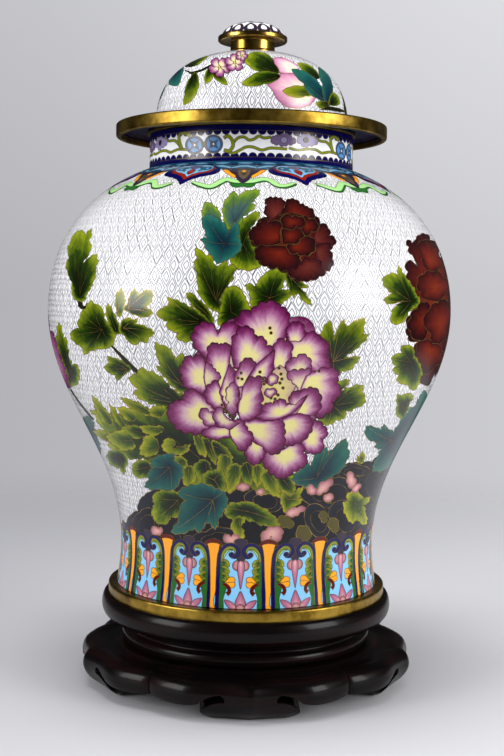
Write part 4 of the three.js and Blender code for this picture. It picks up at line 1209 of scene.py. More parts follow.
def clip(field, ring):
    """The stretches of a closed line that lie on the ground."""
    ring = np.vstack([ring, ring[:1]])
    on = [field.shape_at(*p) == 0 for p in ring]
    if all(on):
        return [ring]
    runs, run = [], []
    for i in range(len(ring) - 1):
        a, b = ring[i], ring[i + 1]
        if on[i]:
            run.append(a)
        if on[i] != on[i + 1]:
            low, high = (a, b) if on[i] else (b, a)
            for _ in range(6):
                middle = (low + high) / 2
                low, high = (middle, high) if field.shape_at(*middle) == 0 else (low, middle)
            run.append(low)
            if on[i]:
                runs.append(run)
                run = []
    if on[-1]:
        run.append(ring[-1])
    if len(run) > 1:
        runs.append(run)
    return [np.array(r) for r in runs if len(r) > 1 and np.abs(np.diff(r, axis=0)).sum() > 0.4]


def rectangle(x0, x1, y0, y1, step=4.0):
    """The outline of an upright rectangle, with points along its sides."""
    across, up = int((x1 - x0) / step), max(2, int((y1 - y0) / step))
    bottom = np.stack([np.linspace(x0, x1, across, endpoint=False), np.full(across, y0)], 1)
    side = np.stack([np.full(up, x1), np.linspace(y0, y1, up, endpoint=False)], 1)
    return np.vstack([bottom, side, np.array([x0 + x1, y0 + y1]) - bottom,
                      np.array([x0 + x1, y0 + y1]) - side])


def stroke(path, widths):
    """A closed outline round a curve, with a width at each of its points."""
    path = [tuple(p) for p in path]
    line = smooth(path, closed=False, pace=0.7)
    share = np.linspace(0, len(path) - 1, len(line))
    half = np.interp(share, np.arange(len(path)), np.broadcast_to(widths, len(path))) / 2
    along = np.gradient(line, axis=0)
    along /= np.maximum(np.hypot(*along.T), 1e-9)[:, None]
    side = np.stack([-along[:, 1], along[:, 0]], 1) * half[:, None]
    return np.vstack([line + side, (line - side)[::-1]])


def mirrored(outline):
    """An outline with left and right changed over."""
    return outline * (-1, 1)


def both(outline, kind, root=None):
    """A field and its mirror image."""
    other = None if root is None else (-root[0], root[1])
    return [(kind, outline, root), (kind, mirrored(outline), other)]


# The lower band, one panel between two columns. Across is millimetres from the pendant, up is height.
COLUMN_SIDE = 14.78
COLUMNS = [-59.0 - 22.18 * k for k in (3, 2, 1)] + [-59.0, -35.3, -13.6, 9.2, 32.4, 57.0]
COLUMNS += [57.0 + 22.18 * k for k in range(1, 10)]


def panel():
    """One arch of the lower band with the column to its right, from the lowest field up."""
    fields = []
    arch = smooth([(-12.4, 60.2), (-12.4, 75), (-12.2, 86), (-11, 93.6), (-7.2, 97.6), (-3.2, 97.6),
                   (-0.9, 95), (-0.7, 92), (-1.4, 89.6), (0, 87), (1.4, 89.6), (0.7, 92), (0.9, 95),
                   (3.2, 97.6), (7.2, 97.6), (11, 93.6), (12.2, 86), (12.4, 75), (12.4, 60.2)])
    fields.append(("sky", arch, None))
    knob = smooth([(0, 86.4), (-2.2, 88.6), (-2.4, 90), (-0.9, 92.4), (-0.9, 95), (-3.4, 98), (-3.2, 100),
                   (0, 101), (3.2, 100), (3.4, 98), (0.9, 95), (0.9, 92.4), (2.4, 90), (2.2, 88.6)], pace=0.8)
    fields.append(("dusk", knob, None))
    acanthus = smooth([(-11.3, 60.4), (-8.9, 60.4), (-9.0, 66), (-8.0, 70), (-7.2, 75), (-7.2, 84),
                       (-9.0, 88), (-10.9, 90), (-11.2, 78)])
    fields += both(acanthus, "green")
    for drop in (0, 3.9, 7.7, 11.3):
        lobe = smooth([(-10.4, 88.2 - drop), (-7.8, 88.2 - drop), (-6.2, 86.2 - drop), (-6.5, 84 - drop),
                       (-8.8, 85 - drop)], pace=0.7)
        fields += both(lobe, "fresh", (-10.0, 86.6 - drop))
    inner = stroke([(-10.5, 87), (-9.9, 91.6), (-7.2, 95.0), (-4.2, 95.2), (-2.7, 93.2), (-3.0, 92)],
                   (0.9, 1.9, 2.1, 1.9, 1.7, 1.0))
    fields += both(inner, "olive")
    inner = stroke([(-9.4, 88.4), (-8.6, 91.4), (-6.6, 93.6), (-4.6, 93.9)], (0.4, 0.9, 1.0, 0.4))
    fields += both(inner, "lime")
    hook = stroke([(-12.3, 60.3), (-12.3, 75), (-12.1, 85), (-11.2, 92.4), (-7.6, 96.7), (-3.6, 96.8),
                   (-1.5, 94.2), (-1.7, 91.6), (-3.4, 90.2), (-5.0, 90.8)],
                  (2.1, 2.1, 2.1, 2.1, 2.1, 2.1, 1.9, 1.9, 2.3, 2.8))
    fields += both(hook, "cobalt")
    fields += both(disc((-5.1, 91.2), 1.5, 12), "cobalt")
    fields += both(smooth([(-0.8, 87), (-2.9, 87.8), (-4.5, 85.6), (-3.9, 82.9), (-1.6, 82.2)], pace=0.7),
                   "blush", (-1.0, 85))
    fields.append(("pink", smooth([(0, 88), (-1.8, 86.4), (-1.9, 83), (-1.2, 78), (0, 71.6), (1.2, 78),
                                   (1.9, 83), (1.8, 86.4)], pace=0.8), (0, 86.8)))
    fields += both(smooth([(-8.4, 74.6), (-6.4, 77.8), (-4.4, 78.5), (-3.0, 77.2), (-3.6, 75.4)], pace=0.7),
                   "orange")
    fields += both(smooth([(-8.4, 74.6), (-3.6, 75.5), (-2.9, 73.9), (-3.8, 72.3), (-6.4, 72.6)], pace=0.7),
                   "orange")
    fields += both(stroke([(-9.6, 74.2), (-7.8, 73.6), (-6.2, 71.8), (-6.0, 69.8), (-7.2, 68.6)],
                          (1.0, 1.9, 1.9, 1.8, 2.3)), "maroon")
    fields += both(smooth([(-1.6, 61.4), (-4.6, 64.4), (-8.4, 65.4), (-7.6, 62.8), (-5.4, 60.5),
                           (-2.2, 60.3)], pace=0.8), "pink", (-2.0, 60.8))
    fields.append(("pink", smooth([(0, 70.4), (-1.8, 66.8), (-2.8, 63.6), (-1.6, 60.4), (1.6, 60.4),
                                   (2.8, 63.6), (1.8, 66.8)], pace=0.8), (0, 60.6)))
    fields.append(("blush", smooth([(-2.4, 60.3), (-1.7, 62.3), (0, 63.2), (1.7, 62.3), (2.4, 60.3)],
                                   pace=0.8), (0, 60.4)))
    c = COLUMN_SIDE
    fields.append(("orange", smooth([(c - 1.4, 60.3), (c - 1.5, 68), (c - 2.0, 80), (c - 2.4, 90),
                                     (c - 3.4, 96), (c - 3.6, 98), (c + 3.6, 98), (c + 3.4, 96),
                                     (c + 2.4, 90), (c + 2.0, 80), (c + 1.5, 68), (c + 1.4, 60.3)]), None))
    fields.append(("maroon", smooth([(c - 5.0, 96.4), (c - 4.4, 98.6), (c, 100.4), (c + 4.4, 98.6),
                                     (c + 5.0, 96.4), (c + 2, 97.7), (c - 2, 97.7)], pace=0.8), None))
    return fields


def lappet():
    """The shoulder band, one lappet with the pendant to its right. Across is millimetres where the
    jar's radius is 80, up is the length down from the neck with a minus."""
    fields = []
    x0 = 31.4
    points = [(x0 - 26, -31), (x0 - 19.3, -34.9), (x0 - 15.1, -36), (x0 - 12, -32.4), (x0 - 8.6, -28.8),
              (x0 - 3.9, -30.9), (x0, -31.4), (x0 + 4.5, -30.7), (x0 + 9.5, -28.3), (x0 + 13.4, -29.3),
              (x0 + 16.5, -34), (x0 + 20.4, -34.6), (x0 + 26, -31.4)]
    widths = (1.4, 2.6, 3.4, 3.6, 3.8, 3.6, 3.0, 3.6, 3.8, 3.6, 3.2, 2.6, 1.4)
    fields.append(("green", stroke([(x + 0.3, y - 1.5) for x, y in points], widths)))
    fields.append(("lime", stroke(points, widths)))
    fields.append(("dusk", smooth([(x0 - 12.8, -15), (x0 + 12.8, -15), (x0 + 7.5, -20), (x0 + 4.6, -25),
                                   (x0 + 2.6, -30), (x0, -33), (x0 - 2.6, -30), (x0 - 4.6, -25),
                                   (x0 - 7.5, -20)])))
    fields.append(("ash", smooth([(x0 - 3.4, -16.8), (x0 + 3.4, -16.8), (x0 + 2.8, -24), (x0, -29),
                                  (x0 - 2.8, -24)])))
    for side in (-1, 1):
        streak = np.array([(-12.4, -16.6), (-11.2, -19.6), (-8.4, -23.4), (-4.6, -27.4), (-4.2, -24.6),
                           (-6.8, -21), (-9.6, -17)])
        fields.append(("orange", smooth(streak * (side, 1) + (x0, 0), pace=0.8)))
    fields.append(("orange", disc((x0, -18.6), 1.5, 12)))
    fields.append(("amber", disc((x0, -22.6), 1.2, 12)))
    fields.append(("green", smooth([(x0 - 6, -33.6), (x0, -33), (x0 + 6, -33.6), (x0 + 3.6, -37.4),
                                    (x0, -36.6), (x0 - 3.6, -37.4)], pace=0.8)))
    halves = [
        ([(-15.5, -12.6), (-17.6, -18), (-16.2, -22), (-12.4, -24), (-8.4, -25.6), (-4.6, -27.8),
          (-2.2, -30.6), (0, -34)], "cobalt"),
        ([(-13.2, -12), (-14, -16.4), (-11.6, -19.8), (-6.8, -21.8), (-3, -24.6), (0, -28.8)], "red"),
        ([(-12.2, -11.4), (-12.4, -15.4), (-10, -18), (-5.4, -19.8), (-2.2, -22), (0, -25.2)], "sky"),
    ]
    for rows, kind in halves:
        rows = rows + [(-x, y) for x, y in rows[-2::-1]]
        fields.append((kind, bulged(rows + [(9, -9), (-9, -9)], 0.1 if kind == "cobalt" else 0.04)))
    for side in (-1, 1):
        fields.append(("turquoise", bulged([(side * 3.2, -12.6), (side * 10.6, -12), (side * 11.4, -15.4),
                                            (side * 6.4, -16.8), (side * 4.4, -18.4), (side * 5.6, -14.8)],
                                           0.14)))
        fields.append(("sky", disc((side * 8.8, -14), 1.1, 10)))
    fields.append(("mauve", bulged([(-4.6, -10.4), (4.6, -10.4), (2.6, -13.4), (0, -14.8), (-2.6, -13.4)],
                                   0.1)))
    fields.append(("red", bulged([(-2.5, -17.4), (0, -14.6), (2.5, -17.4), (0, -22.6)], 0.1)))
    return fields


def collar():
    """The collar between the neck and the lappets, a quarter of a lappet wide."""
    fields = [("sky", stroke([(-8, -14), (-4, -11.6), (0, -10.4), (4, -11.6), (8, -14)],
                             (1.6, 2.4, 2.8, 2.4, 1.6)))]
    fields.append(("sky", smooth([(-5.5, -4.4), (0, -2.6), (5.5, -4.4), (0, -6.6)], pace=0.9)))
    fields.append(("cobalt", smooth([(4.4, -7.6), (8, -6), (11.4, -7.6), (8, -9)], pace=0.9)))
    return fields


# The neck, one quarter of its ribbons and emblems, drawn as the photograph's frame shows them.
NECK = [
    ("olive", [(233, 143), (238, 138), (244, 137), (249, 140), (254, 139), (259, 136), (264, 138),
         (271, 137)], 2.6),
    ("olive", [(226, 150), (233, 153), (240, 150), (246, 147), (253, 147), (262, 150), (271, 148),
         (287, 149)], 2.6),
    ("olive", [(224, 138), (228, 136), (232, 140), (233, 146), (229, 151), (224, 150)], 3.2),
    ("olive", [(289, 148), (298, 150), (308, 149), (316, 150), (322, 153), (330, 152), (337, 154)], 2.4),
    ("olive", [(315, 137), (320, 141), (326, 142), (330, 146), (333, 152)], 2.4),
    ("olive", [(333, 152), (331, 144), (331, 138), (335, 137), (339, 141)], 2.4),
    ("mauve", [(271, 139), (275, 136), (280, 136), (284, 134), (289, 135), (292, 138), (296, 140),
         (293, 144), (288, 144), (284, 146), (279, 144), (274, 144)], 0),
    ("cloud", [(297, 140), (301, 136), (306, 134), (311, 136), (315, 138), (318, 142), (314, 145),
         (309, 145), (305, 147), (301, 144)], 0),
    ("cloud", disc((284, 140), 3.0), 0),
    ("dusk", disc((306, 140), 2.6), 0),
]
COINS = [(194.5, 145), (213.5, 144)]


def coin(x, y):
    """A round coin with four leaves of light blue between the arms of a star."""
    fields = [("steel", disc((x, y), 9.3, 24)), ("coin", disc((x, y), 7.2, 24))]
    star = []
    for i in range(8):
        far = 7.0 if i % 2 == 0 else 2.6
        turn = math.pi / 4 * (i + 1)
        star.append((x + far * math.cos(turn), y + far * math.sin(turn), 0))
    fields.append(("steel", bulged(star, 0)))
    fields.append(("white", bulged([(x - 1.4, y, 0), (x, y - 1.8, 0), (x + 1.4, y, 0), (x, y + 1.8, 0)], 0)))
    return fields


LAPPET_DEGREES, LAPPET_START = 45, -25.3
LAPPET_ACROSS = LAPPET_DEGREES / 62.8  # degrees for each millimetre of the lappet's drawing
SCALLOPS = 76


def band_shapes():
    """The bands of the jar, from the foot to the mouth."""
    shapes = []
    neck_y, top, reference = JAR.y_at(SHOULDER_HEIGHT), JAR.v[-1], JAR.reference

    def add(field, centre, across, up):
        """Lays a field of a band on the jar: across turns its x into degrees from the centre, and up
        its y into lengths of the outline."""
        def laid(xy):
            return np.stack([np.radians(centre + xy[:, 0] * across) * reference, up(xy[:, 1])], 1)
        root = laid(np.array([field[2]], float))[0] if len(field) > 2 and field[2] else None
        shapes.append(Shape(laid(field[1]), field[0], "band", root))

    def ring(low, high, kind):
        shapes.append(Shape(rectangle(jar_start - 2, jar_end + 2, low, high, 2.5), kind, "band"))

    ring(0.02, 0.9, "green")
    for left, right in zip(COLUMNS, COLUMNS[1:]):
        for field in panel():
            add(field, (left + right) / 2, (right - left) / 2 / COLUMN_SIDE,
                lambda h: np.interp(h, JAR.z, JAR.v))
    ring(neck_y - 15.6, neck_y - 0.1, "turquoise")
    for i in range(-2, 8):
        for j in range(4):
            for field in collar():
                add(field, LAPPET_START + LAPPET_DEGREES * (i + j / 4), LAPPET_ACROSS, lambda s: neck_y + s)
    for i in range(-2, 8):
        for field in lappet():
            add(field, LAPPET_START + LAPPET_DEGREES * i, LAPPET_ACROSS, lambda s: neck_y + s)
    ring(top - 3.2, top - 0.02, "cobalt")
    ring(neck_y - 0.1, neck_y + 2.3, "cobalt")
    wide = 2 * math.pi * reference / SCALLOPS
    turn = np.linspace(0, math.pi, 9)
    for i in range(SCALLOPS):
        for y, sign in ((top - 3.3, -1), (neck_y + 2.4, 1)):
            cup = np.stack([(i + 0.5) * wide + 0.47 * wide * np.cos(turn), y + sign * 2.6 * np.sin(turn)], 1)
            shapes.append(Shape(cup + (jar_start, 0), "cobalt", "band"))
    rows = []
    for kind, points, width in NECK:
        rows.append((kind, stroke(points, width) if width else bulged(points, 0.3, 1.0)))
    for x, y in COINS:
        rows += coin(x, y)
    rows.append(("amber", disc((204, 144.5), 2.6)))
    for kind, outline in rows:
        laid = JAR.seen(outline)
        for turned_by in (-90, 0, 90, 180, 270):
            shapes.append(Shape(laid + (math.radians(turned_by) * reference, 0), kind, "band"))
    return [s for s in shapes if s.outline[:, 0].max() > jar_start and s.outline[:, 0].min() < jar_end]


jar_start, jar_end = (math.radians(a) * JAR.reference for a in WRAP)
jar_ground = Shape(rectangle(jar_start, jar_end, 0, JAR.v[-1]), "white", None)
jar_field = Field(JAR, jar_ground, jar_shapes() + band_shapes())

WIRE_GILT = wire_metal("wire_gilt", (168, 138, 70), (96, 78, 40), 0.35)
WIRE_PLUM = wire_metal("wire_plum", (92, 34, 44), (60, 18, 34), 0.4)
WIRE_BRONZE = wire_metal("wire_bronze", (112, 96, 66), (60, 48, 36), 0.4)
# painted shade: the lattice's brass wire is coloured dark grey, as brass looks where it lies in shadow
WIRE_GREY = wire_metal("wire_grey", (112, 112, 120), (64, 64, 74), 0.5)
WIRES = {"gilt": (WIRE_GILT, 0.32), "plum": (WIRE_PLUM, 0.42), "vein_gilt": (WIRE_GILT, 0.18),
         "band": (WIRE_BRONZE, 0.32), "thin": (WIRE_GILT, 0.28)}
LATTICE_WIDTH = 0.32

pieces = {
    "jar_ground": ("white",),
    "jar_petals": ("petal", "pale", "stamen"),
    "jar_dark_petals": ("wine", "rose", "brick"),
    "jar_leaves": ("leaf", "fresh", "teal", "blue_leaf", "stem"),
    "jar_rock": ("rock", "blush", "amber"),
    "jar_bands": ("cobalt", "sky", "orange", "olive", "lime", "green", "maroon", "mauve", "pink",
                  "turquoise", "coin", "cloud", "red", "ash", "dusk", "steel"),
}
for name, paints in pieces.items():
    jar_field.piece(name, "enamel", paints)
for kind, lines in {**jar_field.borders(), **jar_field.vein_lines()}.items():
    wires("jar_wire_" + kind, JAR, lines, WIRES[kind][1], WIRES[kind][0])
wires("jar_lattice", JAR, lattice(jar_field, 40, JAR.y_at(SHOULDER_HEIGHT) - 33, 108, 12.8), LATTICE_WIDTH,
      WIRE_GREY)


# The lid's drawing

LID = [
    ("peach", (298, 70), [(275, 58), (283, 57), (292, 60), (300, 65), (303, 73), (296, 76), (286, 75),
         (279, 70)]),
    ("peach", (310, 96), [(270, 85), (276, 77), (284, 73), (294, 73), (306, 76), (317, 84), (320, 96),
         (313, 105), (300, 109), (288, 107), (279, 99), (275, 91)]),
    ("leaf", (281, 72), [(246, 59), (253, 53), (263, 52), (272, 56), (277, 64), (282, 73), (272, 73),
         (260, 71), (251, 66)]),
    ("leaf", (283, 76), [(244, 84), (252, 77), (262, 72), (274, 72), (283, 76), (277, 81), (266, 84),
         (254, 86)]),
    ("fresh", (317, 93), [(285, 91), (293, 87), (303, 86), (312, 88), (318, 94), (308, 96), (296, 97)]),
    ("leaf", (322, 80), [(300, 63), (309, 64), (317, 69), (322, 78), (316, 79), (308, 73)]),
    ("teal", (330, 102), [(294, 69), (303, 70), (313, 75), (322, 84), (331, 103), (319, 98), (310, 92),
         (306, 83), (299, 77)]),
    ("teal", (331, 107), [(321, 67), (329, 73), (334, 82), (335, 93), (331, 108), (326, 97), (325, 84)]),
    ("leaf", (333, 104), [(335, 92), (341, 97), (342, 104), (336, 106), (331, 104)]),
    ("leaf", (334, 104), [(318, 103), (325, 101), (331, 103), (329, 108), (322, 108)]),
    ("stem", None, [(322, 110, 0), (330, 106, 0), (341, 108, 0), (350, 112, 0), (342, 112, 0),
         (331, 110, 0)]),
    ("stem", None, [(187, 70, 0), (194, 72, 0), (204, 69, 0), (214, 64, 0), (215, 66, 0), (205, 71, 0),
         (194, 74.5, 0)]),
    ("leaf", (189, 68), [(186, 66), (191, 61), (199, 57), (210, 56), (205, 61), (197, 66)]),
    ("leaf", (197, 73), [(186, 105), (187, 95), (189, 85), (193, 77), (198, 72), (201, 80), (200, 90),
         (195, 99)]),
    ("leaf", (213, 68), [(208, 84), (207, 76), (211, 68), (216, 71), (215, 78)]),
    ("leaf", (215, 70), [(230, 85), (222, 82), (216, 76), (214, 69), (222, 72), (227, 78)]),
    ("teal", (182, 70), [(171, 84), (174, 74), (180, 67), (186, 67), (184, 76), (180, 86)]),
]
# Beside the photograph's view of the lid: rows with azimuths in degrees and heights
LID_END = [
    ("leaf", (76, 351), [(74, 352), (80, 360), (89, 366), (100, 368), (108, 374), (106, 364), (112, 358),
         (101, 355), (94, 350), (84, 349)]),
    ("leaf", (74, 356), [(72, 356), (74, 366), (80, 374), (88, 378), (94, 385), (94, 376), (100, 371),
         (90, 366), (82, 358)]),
    ("teal", (-74, 366), [(-72, 368), (-80, 376), (-88, 380), (-96, 378), (-104, 374), (-98, 368),
         (-100, 360), (-90, 362), (-84, 356), (-80, 362)]),
]
LID_SHIFT = 2.4
# Centre, size and turn of the lid's small blossoms
FLOWERS = [(222, 67, 11.5, 0.3), (237, 62.5, 10.5, 0.9), (244, 55.5, 6.5, 0.1)]


def lid_shapes():
    """The lid's drawing. In the photograph the lid lies a little to the right, so the drawing is
    shifted back by LID_SHIFT."""
    front = [on_side(row, DOME) for row in LID_END]
    for kind, root, corners in LID:
        corners = [(c[0] - LID_SHIFT,) + tuple(c[1:]) for c in corners]
        front.append(field_from((kind, root and (root[0] - LID_SHIFT, root[1]), corners), DOME, teeth=False))
    for x, y, size, turned_by in FLOWERS:
        for i in range(5):
            a = turned_by + i * 2 * math.pi / 5
            petal = [
                (x - LID_SHIFT + size * (0.12 * math.cos(a) + 0.42 * c * math.cos(a) - 0.4 * d * math.sin(a)),
                 y + 0.9 * size * (0.12 * math.sin(a) + 0.42 * c * math.sin(a) + 0.4 * d * math.cos(a)))
                for c, d in ((0.1, -0.5), (1.2, -0.95), (2.0, -0.45), (1.8, 0), (2.0, 0.45), (1.2, 0.95),
                             (0.1, 0.5))
            ]
            front.append(field_from(("pale", (x - LID_SHIFT, y), petal), DOME))
        front.append(field_from(("stamen", (x - LID_SHIFT, y), [
            (x - 3.6, y), (x - LID_SHIFT, y - 1.2), (x - 1.2, y), (x - LID_SHIFT, y + 1.2)]), DOME))
    return [s.moved(turn_by(DOME, 180)) for s in front] + front


lid_start, lid_end = (math.radians(a) * DOME.reference for a in WRAP)
lid_ground = Shape(rectangle(lid_start, lid_end, 0, DOME.v[-1] - 13, 3.0), "white", None)
lid_field = Field(DOME, lid_ground, lid_shapes(), coarse=3.0, fine=1.5)
pieces = {
    "lid_ground": ("white",),
    "lid_petals": ("petal", "pale", "peach", "stamen"),
    "lid_leaves": ("leaf", "fresh", "teal", "stem"),
}
for name, paints in pieces.items():
    lid_field.piece(name, "enamel", paints)
for kind, lines in {**lid_field.borders(), **lid_field.vein_lines()}.items():
    wires("lid_wire_" + kind, DOME, lines, WIRES[kind][1], WIRES[kind][0])
wires("lid_lattice", DOME, lattice(lid_field, 3, DOME.v[-1] - 16, 54, 13.6), LATTICE_WIDTH, WIRE_GREY)


# Plain enamel: linings, base, brim

turned("jar_lining", np.vstack([
    [(65, 342.1), (62.8, 342.1)],
    straight((62.8, 342.1), (62.8, 321.8), 4),
    bezier((62.8, 320.2), (34, -12.8), (0, 44), (125.4, 232.3), 40),
    bezier((125.4, 232.3), (0, -54.9), (0, 58.6), (77.8, 84.3), 40),
    [(77.4, 78.0), (75.6, 72.6), (73.0, 70.8), (69, 70.3), (0, 70.3)],
]), paint("turquoise"), closed=False)
turned("jar_base", [(82.25, 60.6), (80.1, 60.6), (79, 63), (76.6, 66.9), (74, 68), (0, 68.1)],
       paint("turquoise"), closed=False)
turned("lid_brim", rounded([(61.6, 344.4), (83.7, 344.4, 0.6), (83.7, 347.0, 0.6), (61.4, 347.0)]),
       paint("cobalt"), closed=False)
turned("lid_lining", np.vstack([
    superellipse(DOME_RADIUS - WALL, DOME_RISE - WALL, DOME_BASE, DOME_POWER, 40)[::-1],
    rounded([(59.3, 347.0), (59.4, 335.4, 0.8), (61.6, 335.4, 0.8), (61.6, 344.4)]),
]), paint("turquoise"), closed=False)


# Brass

BRASS_BAND = brass("brass_band", (186, 154, 66), (104, 80, 24), 0.3)
BRASS_FINIAL = brass("brass_finial", (206, 172, 88), (140, 108, 42), 0.2, 0.3)
turned("foot_band", rounded([(80.1, 51.6), (87.5, 51.6, 1.4), (87.5, 60.3, 1.6), (82.35, 60.3, 0.3),
                             (80.1, 60.3)]), BRASS_BAND)
turned("mouth_band", rounded([(62.8, 342.4, 0.3), (66.3, 342.4, 0.6), (66.3, 344.1, 0.6),
                              (62.8, 344.1, 0.3)]), BRASS_BAND)
turned("lid_band", rounded([(82.9, 340.5, 0.4), (86.4, 340.5, 1.8), (86.4, 348.8, 2.0), (84.0, 348.8, 0.8),
                            (84.0, 344.1), (82.9, 344.1)]), BRASS_BAND)
dome_top = [(r, DOME_BASE + 0.3 + DOME_RISE * (1 - (r / DOME_RADIUS) ** DOME_POWER) ** (1 / DOME_POWER))
            for r in (0.0, 5, 10, 15.0)]
turned("finial_stem", np.vstack([
    dome_top,
    rounded([(15.0, 395.7), (15.0, 396.4, 0.3), (14.2, 397.4, 0.5), (14.2, 403.2, 0.4), (22.2, 403.2, 1.4),
             (22.2, 406.8, 1.4), (20.4, 406.8, 0.4), (20.4, 405.2), (0, 405.2)])[1:-1],
    [(0, 405.2)],
]), BRASS_FINIAL, steps=120)


# The finial's cap: white enamel with dark petals round it

CAP = Surface(np.vstack([straight((20.05, 405.5), (20.05, 406.5), 2),
                         np.stack([20.05 * np.cos(np.linspace(0, math.pi / 2, 60)),
                                   406.5 + 9.5 * np.sin(np.linspace(0, math.pi / 2, 60))], 1)[1:]]), 20.05)


def cap_shapes():
    """The cap's drawing: two rows of petals and a ring at the top."""
    shapes = []
    around = 2 * math.pi * CAP.reference
    top = CAP.v[-1]
    x0 = math.radians(WRAP[0]) * CAP.reference
    for i in range(14):
        x, w = x0 + (i + 0.5) * around / 14, around / 28
        shapes.append(Shape(smooth([(x - w * 0.82, 1.6), (x - w * 0.86, 5.6), (x, 9.2), (x + w * 0.86, 5.6),
                                    (x + w * 0.82, 1.6)], pace=0.6), "dusk", "gilt"))
        shapes.append(Shape(smooth([(x - w * 0.4, 2.8), (x - w * 0.42, 5.2), (x, 7.2), (x + w * 0.42, 5.2),
                                    (x + w * 0.4, 2.8)], pace=0.6), "white", "gilt"))
    for i in range(7):
        x, w = x0 + (i + 0.5) * around / 7, around / 14
        shapes.append(Shape(smooth([(x - w * 0.9, 11.4), (x, 10.0), (x + w * 0.9, 11.4), (x + w * 0.7, 15),
                                    (x, 17.5), (x - w * 0.7, 15)], pace=0.8), "dusk", "gilt"))
        shapes.append(Shape(smooth([(x - w * 0.5, 12.3), (x, 11.6), (x + w * 0.5, 12.3), (x, 15.2)],
                                   pace=0.7), "white", "gilt"))
    shapes.append(Shape(rectangle(x0 + 0.01, x0 + around - 0.01, top - 4.4, top - 0.4, 1.5), "mauve", "gilt"))
    return shapes


cap_start, cap_end = (math.radians(a) * CAP.reference for a in WRAP)
cap_field = Field(CAP, Shape(rectangle(cap_start, cap_end, 0, CAP.v[-1], 1.2), "white", None), cap_shapes(),
                  coarse=1.2, fine=1.0)
cap_field.piece("cap_ground", "enamel", ("white", "mauve", "dusk"))
for kind, lines in cap_field.borders().items():
    wires("cap_wire_" + kind, CAP, lines, 0.3, WIRE_GILT)
turned("cap_base", [(20.05, 405.6), (19.6, 405.5), (0, 405.5)], paint("white"), steps=120,
       closed=False)


# The stand: turned ring

WOOD = rosewood()
turned("ring_wood", np.vstack([
    [(66, 24.3)],
    smooth([(75.4, 24.3), (77.6, 25.4), (78.6, 28.2), (78.0, 31.0), (75.9, 32.4), (75.1, 33.2), (76.0, 35.4),
            (79.4, 37.3), (83.0, 38.3)], closed=False, pace=0.7),
    smooth([(85.6, 39.2), (88.4, 40.2), (90.6, 42.8), (91.5, 46.2), (91.3, 49.6), (90.4, 52.4), (89.4, 53.6),
            (88.8, 53.8)], closed=False, pace=0.7),
    [(88.0, 53.8), (88.0, 51.3), (66, 51.3)],
]), WOOD)


# The stand: five carved segments

LEGS, STAND_TURN = 5, 2
APRON_RADIUS, APRON_HEIGHT, APRON_SHOULDER = 101.4, 24.0, 5.5
FOOT_RADIUS, FOOT_DEPTH, LOBE_LOW, SEAM_LOW = 90.0, 12.0, 9.0, 11.0
APRON_SEAT, APRON_INNER = 81.0, 70.0


def apron_rise(degrees):
    """How far the apron stands out at an angle from the middle of the leg."""
    away = abs(degrees)
    ridge = 4.6 * math.exp(-math.sqrt(away * away + 0.4) / 5)
    seam = 2.6 * math.exp(-(180 / LEGS - away) / 3.5)
    return ridge + 2.4 * math.exp(-(((away - 20) / 8) ** 2)) - seam


def apron_section(degrees):
    """The section of the apron and leg at an angle from the middle of the leg."""
    rise = apron_rise(degrees)
    outer = APRON_RADIUS + rise
    shoulder = APRON_HEIGHT - APRON_SHOULDER
    face = smooth([
        (FOOT_RADIUS + rise / 2, 0), ((FOOT_RADIUS + 2 * outer) / 3 - 1, LOBE_LOW / 2), (outer - 2, LOBE_LOW),
        (outer, (LOBE_LOW + shoulder) / 2), (outer - 0.4, shoulder),
        (outer - APRON_SHOULDER / 2, APRON_HEIGHT - APRON_SHOULDER / 3),
        (outer - 7.5, APRON_HEIGHT - 0.3), (outer - 11.5, APRON_HEIGHT - 1.0), (86, APRON_HEIGHT - 2.0),
        (83, APRON_HEIGHT - 1.6), (APRON_SEAT, APRON_HEIGHT),
    ], closed=False, pace=9)
    steps = np.linspace(0, len(face) - 1, 44)
    face = np.stack([np.interp(steps, np.arange(len(face)), face[:, k]) for k in (0, 1)], 1)
    return np.vstack([[(FOOT_RADIUS - FOOT_DEPTH, 0)], face,
                      [(APRON_INNER, APRON_HEIGHT), (APRON_INNER, APRON_HEIGHT / 2)]])


def quadratic(p, q, r, steps=14):
    """Points of a curve from p to r that bends towards q, without p itself."""
    t = np.linspace(0, 1, steps + 1)[1:, None]
    return (1 - t) ** 2 * np.array(p) + 2 * t * (1 - t) * np.array(q) + t * t * np.array(r)


def segment_outline():
    """The front view of one segment: apron above, scrolled foot below."""
    seam = APRON_RADIUS * math.sin(math.pi / LEGS)
    stops = [(seam, SEAM_LOW), (30, 11), (17, 16.5), (15, 12.2), (28.5, 5.5), (14, -1)]
    bends = [((seam + 24) / 2, 7), (24, 16.5), (14, 14.5), (24, 12.2), (26.5, 0)]
    half = [np.array([stops[0]])]
    for i, bend in enumerate(bends):
        half.append(quadratic(stops[i], bend, stops[i + 1]))
    right = np.vstack(half)
    return np.vstack([[(APRON_RADIUS, 48), (APRON_RADIUS, SEAM_LOW)], right,
                      right[::-1] * (-1, 1), [(-APRON_RADIUS, SEAM_LOW), (-APRON_RADIUS, 48)]])


